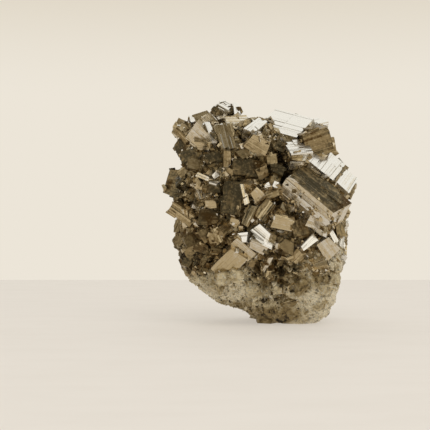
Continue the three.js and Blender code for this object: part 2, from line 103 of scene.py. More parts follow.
class Graph:
    """A material's or the world's node tree, filled by short calls."""

    def __init__(self, owner: bpy.types.ID) -> None:
        """Start from an empty tree on the owner."""
        owner.use_nodes = True
        self.tree = owner.node_tree
        self.tree.nodes.clear()

    def node(
        self,
        kind: str,
        settings: dict[str, Any] | None = None,
        values: Sequence[Any] | dict[str | int, Any] = (),
        output: int | str = 0,
    ) -> Wire:
        """Add a node.

        Args:
            kind: the node's type.
            settings: properties to set first.
            values: what goes into its sockets, in order or by name.
            output: which output the result stands for.

        Returns:
            The chosen output as a Wire.
        """
        made = self.tree.nodes.new(kind)
        for name, setting in (settings or {}).items():
            setattr(made, name, setting)
        pairs = values.items() if isinstance(values, dict) else enumerate(values)
        for name, value in pairs:
            if isinstance(value, Wire):
                self.tree.links.new(value.socket, made.inputs[name])
            else:
                made.inputs[name].default_value = value
        return Wire(self, made.outputs[output] if len(made.outputs) else None)

    def mix(self, factor: Any, first: Any, second: Any) -> Wire:
        """Mix two colours: a factor of 0 gives the first and 1 the second."""
        values = {0: factor, 6: first, 7: second}  # the numbers of the colour sockets
        return self.node("ShaderNodeMix", {"data_type": "RGBA"}, values, 2)

    def step(self, value: Any, low: float, high: float) -> Wire:
        """Rise smoothly from 0 at low to 1 at high."""
        ends = {0: value, 1: low, 2: high, 3: 0.0, 4: 1.0}
        return self.node("ShaderNodeMapRange", {"interpolation_type": "SMOOTHSTEP"}, ends)

    def noise(
        self, vector: Wire, scale: float, detail: float = 2.0, rough: float = 0.5
    ) -> Wire:
        """Noise from 0 to 1 at a scale given in cycles per unit of the vector."""
        values = {"Vector": vector, "Scale": scale, "Detail": detail, "Roughness": rough}
        return self.node("ShaderNodeTexNoise", {}, values)

    def scaled(self, vector: Wire, factors: Triple) -> Wire:
        """Scale a vector along each axis."""
        settings = {"operation": "MULTIPLY"}
        return self.node("ShaderNodeVectorMath", settings, (vector, factors))

    def along(self, vector: Wire, direction: Any) -> Wire:
        """How far a vector reaches in one direction, which is made of length one."""
        values = (vector, unit(direction).tolist())
        return self.node("ShaderNodeVectorMath", {"operation": "DOT_PRODUCT"}, values, "Value")

    def coordinates(self, kind: str = "Object") -> Wire:
        """The place of a point, or for the world the way that it is seen in."""
        return self.node("ShaderNodeTexCoord", output=kind)

    def tone(self) -> Wire:
        """How brown a point is, as its mesh says."""
        return self.node("ShaderNodeAttribute", {"attribute_name": TONE_LAYER}, output="Fac")

    def bump(self, height: Wire, depth: float) -> Wire:
        """Normals for a relief whose height of 1 stands for a depth in mm."""
        values = {"Strength": 1.0, "Distance": depth * METRES, "Height": height}
        return self.node("ShaderNodeBump", {}, values)

    def dress(self, values: dict[str, Any]) -> None:
        """End the tree in a Principled shader with the given sockets."""
        shader = self.node("ShaderNodeBsdfPrincipled", {}, values)
        self.node("ShaderNodeOutputMaterial", {}, {"Surface": shader})


def unit(vectors: Any) -> Array:
    """Vectors of length one."""
    vectors = np.asarray(vectors, float)
    return vectors / np.linalg.norm(vectors, axis=-1, keepdims=True)


def rgb(red: float, green: float, blue: float) -> Color:
    """A scene-linear colour from sRGB numbers, by the sRGB standard's own curve.

    Args:
        red: from 0 to 255, as are the others.
        green: the same for green.
        blue: the same for blue.

    Returns:
        The colour, with an alpha of one.
    """
    channel = np.array([red, green, blue]) / 255
    linear = np.where(channel > 0.04045, ((channel + 0.055) / 1.055) ** 2.4, channel / 12.92)
    return (*linear.tolist(), 1.0)


# ---- finishes -----------------------------------------------------------------


FACE_MAP = "face"  # u runs along a crystal's stripes and v across them, in mm
TONE_LAYER = "tone"


class Tone(Enum):
    """How brown a crystal's face is, from clean metal to dark tarnish, partly as painted light
    and shade: faces that mirror the bright lights are set whiter, and faces that mirror dark
    surroundings, and faces in shade, are set browner.
    """

    WHITE = 0.0
    PALE = 0.14
    BEIGE = 0.27
    OLIVE = 0.42
    BROWN = 0.55
    UMBER = 0.75
    DARK = 0.87


WHITE, PALE, BEIGE, OLIVE, BROWN, UMBER, DARK = Tone
NEARLY_WHITE = 0.2  # tones up to this have fewer steps


def rising(ends: Pair, share: Any) -> Any:
    """A number that starts at the first and grows by the second for each one of a share."""
    return ends[0] + share * ends[1]


@dataclass(frozen=True)
class CrystalFinish:
    """Striated metallic crystal faces, some with brown tarnish, with painted light, shade and
    glints.

    A face's level is its tone, which is partly tarnish and partly painted light and
    shade, made uneven by stripes along it and by blotches and specks, which grow with
    the tone. The colour goes with the level from white over beige and brown to a dark
    that is rusty in places, and painted glints lie on browner faces. Scales are in
    cycles a metre, or a millimetre for the stripes and bands.
    """

    name: str = "striated_pyrite"
    white: Triple = (226, 222, 212)
    beige: Triple = (198, 180, 143)
    brown: Triple = (150, 131, 95)
    dark: Triple = (90, 82, 62)
    rust: Triple = (92, 70, 38)
    beige_at: Pair = (0.0, 0.28)  # the levels between which each colour comes in
    brown_at: Pair = (0.3, 0.62)
    dark_at: Pair = (0.64, 0.95)
    stripe_scale: float = 1.6
    stripe_stretch: float = 0.012  # the scale along a stripe, as a share of that across
    band_scale: float = 0.45
    band_stretch: float = 0.03
    blotch_scale: float = 160.0
    speck_scale: float = 900.0
    rust_scale: float = 60.0
    rust_at: Pair = (0.48, 0.62)
    pit_at: Pair = (0.68, 0.76)
    # painted glints: light specks on browner faces that stand for small facets catching the light
    glint_scale: float = 1300.0
    glint_at: Pair = (0.66, 0.72)
    stripe: float = 0.3           # how strong the stripes are, and so on
    band: float = 0.2
    blotch: Pair = (0.2, 0.9)     # on clean metal, and how much more for a tone of 1
    speck: Pair = (0.15, 0.7)
    pit: Pair = (0.15, 0.35)
    # how strong the painted glints are
    glint: float = 0.5
    metallic: float = 0.92
    roughness: float = 0.1
    dulling: Triple = (0.28, 0.1, 0.15)  # what tone, bands and pits add to that
    relief: float = 0.035
    band_relief: float = 1.5      # beside that of the stripes
    speck_relief: Pair = (0.1, 0.6)

    def material(self) -> bpy.types.Material:
        """Make the material.

        Returns:
            The new material.
        """
        made = bpy.data.materials.new(self.name)
        graph = Graph(made)
        face = graph.node("ShaderNodeUVMap", {"uv_map": FACE_MAP})
        tone, place = graph.tone(), graph.coordinates()
        striped = graph.scaled(face, (self.stripe_stretch, 1.0, 1.0))
        stripes = graph.noise(striped, self.stripe_scale, 3.0, 0.7)
        banded = graph.scaled(face, (self.band_stretch, 1.0, 1.0))
        bands = graph.noise(banded, self.band_scale)
        blotches = graph.noise(place, self.blotch_scale, 5.0, 0.7)
        specks = graph.noise(place, self.speck_scale)
        level = tone + (blotches - 0.5) * rising(self.blotch, tone) + (stripes - 0.5) * self.stripe
        level = level + (bands - 0.5) * self.band + (specks - 0.5) * rising(self.speck, tone)
        pits = graph.step(specks, *self.pit_at)
        # painted glints: where the light specks lie
        glints = graph.step(graph.noise(place, self.glint_scale, 1.0), *self.glint_at)
        color = self.color_for_level(graph, level, place)
        color = graph.mix(pits * rising(self.pit, tone), color, rgb(*self.dark))
        # painted glints, stronger on browner faces
        color = graph.mix(glints * tone * self.glint, color, rgb(*self.beige))
        by_tone, by_bands, by_pits = self.dulling
        height = stripes + bands * self.band_relief + specks * rising(self.speck_relief, tone)
        graph.dress({
            "Base Color": color,
            "Metallic": self.metallic,
            "Roughness": self.roughness + tone * by_tone + bands * by_bands + pits * by_pits,
            "Normal": graph.bump(height, self.relief),
        })
        return made

    def color_for_level(self, graph: Graph, level: Wire, place: Wire) -> Wire:
        """The colour for a level of tone, which is partly tarnish and partly painted light and
        shade.

        Args:
            graph: the material's graph.
            level: how brown the point is, by tarnish and by painted light and shade.
            place: where the point is.

        Returns:
            The colour.
        """
        color = graph.mix(graph.step(level, *self.beige_at), rgb(*self.white), rgb(*self.beige))
        color = graph.mix(graph.step(level, *self.brown_at), color, rgb(*self.brown))
        rusty = graph.step(graph.noise(place, self.rust_scale, 3.0), *self.rust_at)
        dark = graph.mix(rusty, rgb(*self.dark), rgb(*self.rust))
        return graph.mix(graph.step(level, *self.dark_at), color, dark)


@dataclass(frozen=True)
class GranularFinish:
    """Dull granular pyrite between the crystals, browner in the hollows, which is painted shade.

    The tone, which brings painted shade from the mesh, is made uneven by mottles, and
    with broad clouds it decides between pale, light, brown and dark. Dark grains and
    small painted glints lie over that. Scales are in cycles a metre.
    """

    name: str = "granular_pyrite"
    pale: Triple = (234, 224, 198)
    light: Triple = (214, 200, 165)
    brown: Triple = (158, 138, 96)
    dark: Triple = (62, 51, 33)
    # painted glints: the colour of bright specks that stand for grains catching the light
    glint: Triple = (240, 234, 214)
    cloud_scale: float = 70.0
    mottle_scale: float = 280.0
    mottle: float = 1.6
    grain_scale: float = 480.0
    grain_at: Pair = (0.52, 0.68)
    grain_strength: float = 0.85
    glint_scale: float = 1100.0
    glint_at: Pair = (0.57, 0.65)
    pale_at: Pair = (0.0, 0.45)   # the levels between which each colour comes in
    brown_at: Pair = (0.4, 1.0)
    dark_at: Pair = (0.8, 1.2)
    cloud: Triple = (0.4, 0.6, 0.3)  # how far the clouds shift those three levels
    glint_strength: float = 0.8
    glint_relief: float = 0.5     # beside that of the grains
    metallic: float = 0.55
    roughness: float = 0.36
    dulling: Pair = (0.2, -0.15)  # what stains with painted shade, and painted glints, add to that
    relief: float = 0.95

    def material(self) -> bpy.types.Material:
        """Make the material.

        Returns:
            The new material.
        """
        made = bpy.data.materials.new(self.name)
        graph = Graph(made)
        place = graph.coordinates()
        clouds = graph.noise(place, self.cloud_scale, 3.0, 0.6)
        mottles = graph.noise(place, self.mottle_scale, 3.0, 0.6)
        tone = graph.tone() + (mottles - 0.5) * self.mottle
        grains = graph.noise(place, self.grain_scale, 4.0, 0.72)
        glints = graph.step(graph.noise(place, self.glint_scale, 1.0), *self.glint_at)
        paleness = graph.step(clouds * self.cloud[0] - tone, *self.pale_at)
        # the brown share, from a tone that is partly painted shade in hollows and gaps
        stain_and_shade = graph.step(clouds * self.cloud[1] + tone, *self.brown_at)
        depths = graph.step(clouds * self.cloud[2] + tone, *self.dark_at)
        pits = graph.step(grains, *self.grain_at) * self.grain_strength
        color = graph.mix(paleness, rgb(*self.light), rgb(*self.pale))
        color = graph.mix(stain_and_shade, color, rgb(*self.brown))
        color = graph.mix(depths, color, rgb(*self.dark))
        color = graph.mix(pits, color, rgb(*self.dark))
        # painted glints, kept off the browner parts
        glint_share = glints * (1 - stain_and_shade) * self.glint_strength
        color = graph.mix(glint_share, color, rgb(*self.glint))
        by_stain_and_shade, by_sparks = self.dulling
        graph.dress({
            "Base Color": color,
            "Metallic": self.metallic,
            "Roughness": self.roughness + stain_and_shade * by_stain_and_shade + glints * by_sparks,
            "Normal": graph.bump(grains + glints * self.glint_relief, self.relief),
        })
        return made


# ---- meshes -------------------------------------------------------------------


@dataclass
class Sheet:
    """A surface: points in mm, quads over them, and each quad corner's map and tone."""

    points: Array
    quads: Array
    face_map: Array
    tone: Array


def joined(sheets: Sequence[Sheet]) -> Sheet:
    """Put several sheets into one, each keeping its own points.

    Args:
        sheets: the sheets, in order.

    Returns:
        The one sheet.
    """
    starts = np.cumsum([0] + [len(sheet.points) for sheet in sheets[:-1]])
    return Sheet(
        np.concatenate([sheet.points for sheet in sheets]),
        np.concatenate([sheet.quads + start for sheet, start in zip(sheets, starts)]),
        np.concatenate([sheet.face_map for sheet in sheets]),
        np.concatenate([sheet.tone for sheet in sheets]),
    )


def add_piece(name: str, sheet: Sheet, material: bpy.types.Material) -> bpy.types.Object:
    """Make a Blender object that rides on the cluster and stands for its solid.

    Args:
        name: the object's name.
        sheet: its surface, about the core's axis.
        material: its finish.

    Returns:
        The new object, at the origin.
    """
    points = sheet.points + CENTRING
    points[:, 2] = np.maximum(points[:, 2], 0)
    mesh = bpy.data.meshes.new(name)
    mesh.from_pydata(points * METRES, [], sheet.quads)
    layer = mesh.uv_layers.new(name=FACE_MAP)
    layer.uv.foreach_set("vector", sheet.face_map.astype(np.float32).ravel())
    shade = mesh.attributes.new(TONE_LAYER, "FLOAT", "CORNER")
    shade.data.foreach_set("value", sheet.tone.astype(np.float32).ravel())
    mesh.materials.append(material)
    made = bpy.data.objects.new(name, mesh)
    bpy.context.scene.collection.objects.link(made)
    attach(made, "root")
    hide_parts(NODE)
    log.info("%s: %d faces", name, len(mesh.polygons))
    return made


def smooth(low: float, high: float, value: Any) -> Any:
    """Rise smoothly from 0 at low to 1 at high."""
    share = np.clip((value - low) / (high - low), 0, 1)
    return share * share * (3 - 2 * share)


def between(ends: Pair, share: Any) -> Any:
    """The value at a share of the way from one end to the other."""
    return ends[0] + (ends[1] - ends[0]) * share


def shell(counts: tuple[int, int, int]) -> tuple[Array, list[Array]]:
    """The outer points and quads of a block of grid points.

    Args:
        counts: the number of grid points along each of the three axes.

    Returns:
        The index triples of the outer points, and six arrays of quads, in the order
        high and low first axis, high and low second, high and low third.
    """
    index = np.full(counts, -1)
    outer = np.zeros(counts, bool)
    outer[[0, -1]] = outer[:, [0, -1]] = True
    outer[:, :, [0, -1]] = True
    index[outer] = np.arange(outer.sum())
    grids = [
        (index[-1], False), (index[0], True),
        (index[:, -1], True), (index[:, 0], False),
        (index[:, :, -1], False), (index[:, :, 0], True),
    ]
    quads = []
    for grid, backwards in grids:
        corners = [grid[:-1, :-1], grid[1:, :-1], grid[1:, 1:], grid[:-1, 1:]]
        loop = np.stack(corners[::-1] if backwards else corners, -1)
        quads.append(loop.reshape(-1, 4))
    return np.argwhere(outer), quads


TOP = 4  # which of a shell's six arrays is the high end of the third axis
FACE_AXES = ((1, 2), (1, 2), (0, 2), (0, 2), (0, 1), (0, 1))  # the two axes of each
MAP_GAP = 37.0  # how far apart two faces of a crystal lie on its map, in mm
MAP_SPREAD = 900.0  # how far apart two crystals may lie on the map, in mm


# ---- the base's form ----------------------------------------------------------


@dataclass(frozen=True)
class Base:
    """The granular base: a soft blend of flat sides round a core, with broad lumps.

    Each side is the way that it faces and its distance from the core.
    """

    core: Triple = (0.0, 0.0, 48.0)
    sharpness: float = 12.0
    lump: float = 0.014
    sides: tuple[tuple[Triple, float], ...] = (
        ((0, 0, -1), 55), ((-0.42, -0.1, -0.9), 42), ((-0.93, 0, -0.36), 42),
        ((-1, 0, 0), 41), ((-0.98, 0, 0.18), 42), ((-0.54, 0, 0.84), 57),
        ((0, 0, 1), 44), ((0.52, 0, 0.85), 45), ((0.86, 0, 0.51), 41),
        ((0.96, 0, -0.27), 42.5), ((1, 0, 0), 38.5), ((0.81, 0, -0.58), 51.5),
        ((0, -1, 0), 27), ((0.35, -0.6, 0.72), 40.5), ((-0.3, -0.65, 0.7), 45),
        ((0, -0.8, -0.6), 38), ((-0.7, -0.7, 0), 36), ((0.65, -0.75, 0), 38),
        ((0.25, 1, 0), 34.5), ((0.1, 0.6, 0.8), 42), ((-0.55, 0.6, 0.58), 30),
        ((-0.1, 0.7, -0.7), 47), ((-0.75, 0.66, 0.1), 26), ((0.7, 0.7, 0), 45),
    )
    search_from: float = -50.0  # where a search for the base's front starts,
    search_points: int = 2001  # and how many points it tries on the way to 0

    def radius(self, directions: Array) -> Array:
        """How far the base reaches from its core.

        The radius is the p-norm blend of the distances at which the direction would
        meet each flat side, times one plus a few sine lumps.

        Args:
            directions: unit vectors, shaped (..., 3).

        Returns:
            The radii in mm.
        """
        normals = unit([side for side, _ in self.sides])
        reach = np.array([reach for _, reach in self.sides])
        share = np.maximum(directions @ normals.T / reach, 0)
        blended = (share ** self.sharpness).sum(-1) ** (-1 / self.sharpness)
        x, y, z = np.moveaxis(directions, -1, 0)
        lumps = np.sin(9 * x + 4 * z) * np.sin(8 * y - 5 * z)
        lumps = lumps + 0.6 * np.sin(17 * x - 9 * y) * np.cos(15 * z + 6 * x)
        return blended * (1 + self.lump * lumps)

    def front(self, x: float, z: float) -> float:
        """Where a line running straight back first meets the base.

        Args:
            x: the line's place across.
            z: its height.

        Returns:
            The place's y, or 0 where the line passes beside the base.
        """
        y = np.linspace(self.search_from, 0, self.search_points)
        points = np.stack([np.full_like(y, x), y, np.full_like(y, z)], -1) - self.core
        away = np.linalg.norm(points, axis=-1)
        inside = away < self.radius(points / away[:, None])
        return float(y[np.argmax(inside)]) if inside.any() else 0.0

    def beyond(self, directions: Array, out: Array | float) -> Array:
        """The points that stand a given way out of the base in some directions."""
        reach = self.radius(directions) + out
        return directions * np.asarray(reach)[..., None] + self.core


# ---- crystals -----------------------------------------------------------------


@dataclass(frozen=True)
class Block:
    """A crystal placed in space.

    size holds its lengths along its long edge, across it and into the base; turn has
    those three directions as columns, the last one pointing out; centre is the middle
    of the broad outer face. tone is for that face and side for the others, and ribbed
    is how strongly they are striated.
    """

    size: Triple
    turn: Array
    centre: Array
    tone: float
    side: float
    ribbed: float = 1.0

    def exits(self, directions: Array, core: Triple) -> Array:
        """How far from the core rays leave this block.

        A ray is inside from the greatest of its three near crossings, one for each
        pair of parallel sides, to the least of its three far ones.

        Args:
            directions: the rays' directions, shaped (n, 3).
            core: where they start.

        Returns:
            The distances, with minus one where a ray misses.
        """
        speed = directions @ self.turn
        speed = np.where(abs(speed) < NEARLY_ZERO, NEARLY_ZERO, speed)
        half = np.array(self.size) / 2
        middle = (self.centre - core) @ self.turn - [0, 0, half[2]]
        enter = ((middle - np.sign(speed) * half) / speed).max(-1)
        leave = ((middle + np.sign(speed) * half) / speed).min(-1)
        return np.where((leave > enter) & (leave > 0), leave, -1.0)

    def clears(self) -> float:
        """How deep below the base's surface this block's face may lie and stay bare."""
        return float(between(BARE_DEPTH, smooth(*BARE_LENGTH, self.size[0])))

    def holds(self, points: Array, margin: Array | float) -> Array:
        """Which points lie in the block, or less than a margin off its faces."""
        local = abs((points - self.centre) @ self.turn + [0, 0, self.size[2] / 2])
        return (local < np.array(self.size) / 2 + np.asarray(margin)[..., None]).all(-1)


def rotation(angles: Array) -> Array:
    """A small turn about each axis.

    The matrix 1 + [angles] of a slight turn is made square again by a QR split.

    Args:
        angles: the three turns in radians.

    Returns:
        A matrix with columns of length one.
    """
    x, y, z = angles
    slight = np.array([[1, -z, y], [z, 1, -x], [-y, x, 1]])
    columns, _ = np.linalg.qr(slight)
    return columns * np.sign(np.diag(columns))


def radial_turn(looks: Array, angle: float) -> Array:
    """The axes of a crystal that looks one way: its long edge is nearly level, then turned.

    Args:
        looks: the way that it looks, of length one.
        angle: how far it is turned about that way, in radians.

    Returns:
        The axes as columns, looks being the last.
    """
    level = np.array([-looks[1], looks[0], 0.2])
    along = unit(level - looks * (level @ looks))
    along = along * np.cos(angle) + np.cross(looks, along) * np.sin(angle)
    return np.stack([along, np.cross(looks, along), looks], -1)


class Grooves(Enum):
    """Which way a placed crystal is striated, or that it hardly is."""

    ALONG = "along its long edge"
    ACROSS = "across it"
    FEW = "hardly at all"


ALONG, ACROSS, FEW = Grooves
FAINT = 0.15  # how strongly a crystal with few grooves is striated


@dataclass(frozen=True)
class Crystal:
    """A crystal of the near side, placed by the middle of its broad face.

    at is that point across and up, out how far it stands out of the base, looks the
    way the face points, edge the slope of its long edge as seen from the front, and
    size the lengths along that edge, across it and into the base. Its other faces
    have the same tone, unless side gives one.
    """

    at: Pair
    out: float
    looks: Triple
    edge: float
    size: Triple
    tone: Tone
    grooves: Grooves = ALONG
    side: Tone | None = None

    def block(self, base: Base) -> Block:
        """Place the crystal on the base.

        Args:
            base: the base that it grows on.

        Returns:
            The placed crystal.
        """
        normal = unit(self.looks)
        angle = np.radians(self.edge)
        along = -unit(np.cross(normal, [-np.sin(angle), 0, np.cos(angle)]))
        across = unit(np.cross(normal, along))
        size = self.size
        if self.grooves is ACROSS:
            along, across = across, -along
            size = (size[1], size[0], size[2])
        turn = np.stack([along, across, normal], -1)
        x, z = self.at
        centre = np.array([x, base.front(x, z) - self.out, z])
        side = (self.side or self.tone).value
        ribbed = FAINT if self.grooves is FEW else 1.0
        return Block(size, turn, centre, self.tone.value, side, ribbed)


@dataclass(frozen=True)
class RoundCrystal:
    """A crystal of the sides, top or back.

    bearing is the compass direction that it grows in, 90 being straight back, rise
    its slope upwards, out how far it stands out, turn and lean how it is set.
    """

    bearing: float
    rise: float
    out: float
    turn: float
    lean: Triple
    size: Triple
    tone: Tone = BEIGE

    def block(self, base: Base) -> Block:
        """Place the crystal on the base.

        Args:
            base: the base that it grows on.

        Returns:
            The placed crystal.
        """
        around, up = np.radians([self.bearing, self.rise])
        level = np.cos(up)
        direction = np.array([np.cos(around) * level, np.sin(around) * level, np.sin(up)])
        centre = base.beyond(direction, self.out)
        turn = radial_turn(unit(direction + self.lean), np.radians(self.turn))
        return Block(self.size, turn, centre, self.tone.value, self.tone.value)


@dataclass(frozen=True)
class FootCrystal:
    """A low crystal beside the resting patch: its middle, its size and its turn in degrees."""

    middle: Triple
    size: Triple
    turn: float
    tone: Tone = BROWN

    def block(self) -> Block:
        """Place the crystal level.

        Returns:
            The placed crystal.
        """
        angle = np.radians(self.turn)
        sine, cosine = np.sin(angle), np.cos(angle)
        turn = np.array([[cosine, -sine, 0], [sine, cosine, 0], [0, 0, 1]])
        centre = np.array(self.middle) + [0, 0, self.size[2] / 2]
        return Block(self.size, turn, centre, self.tone.value, self.tone.value)
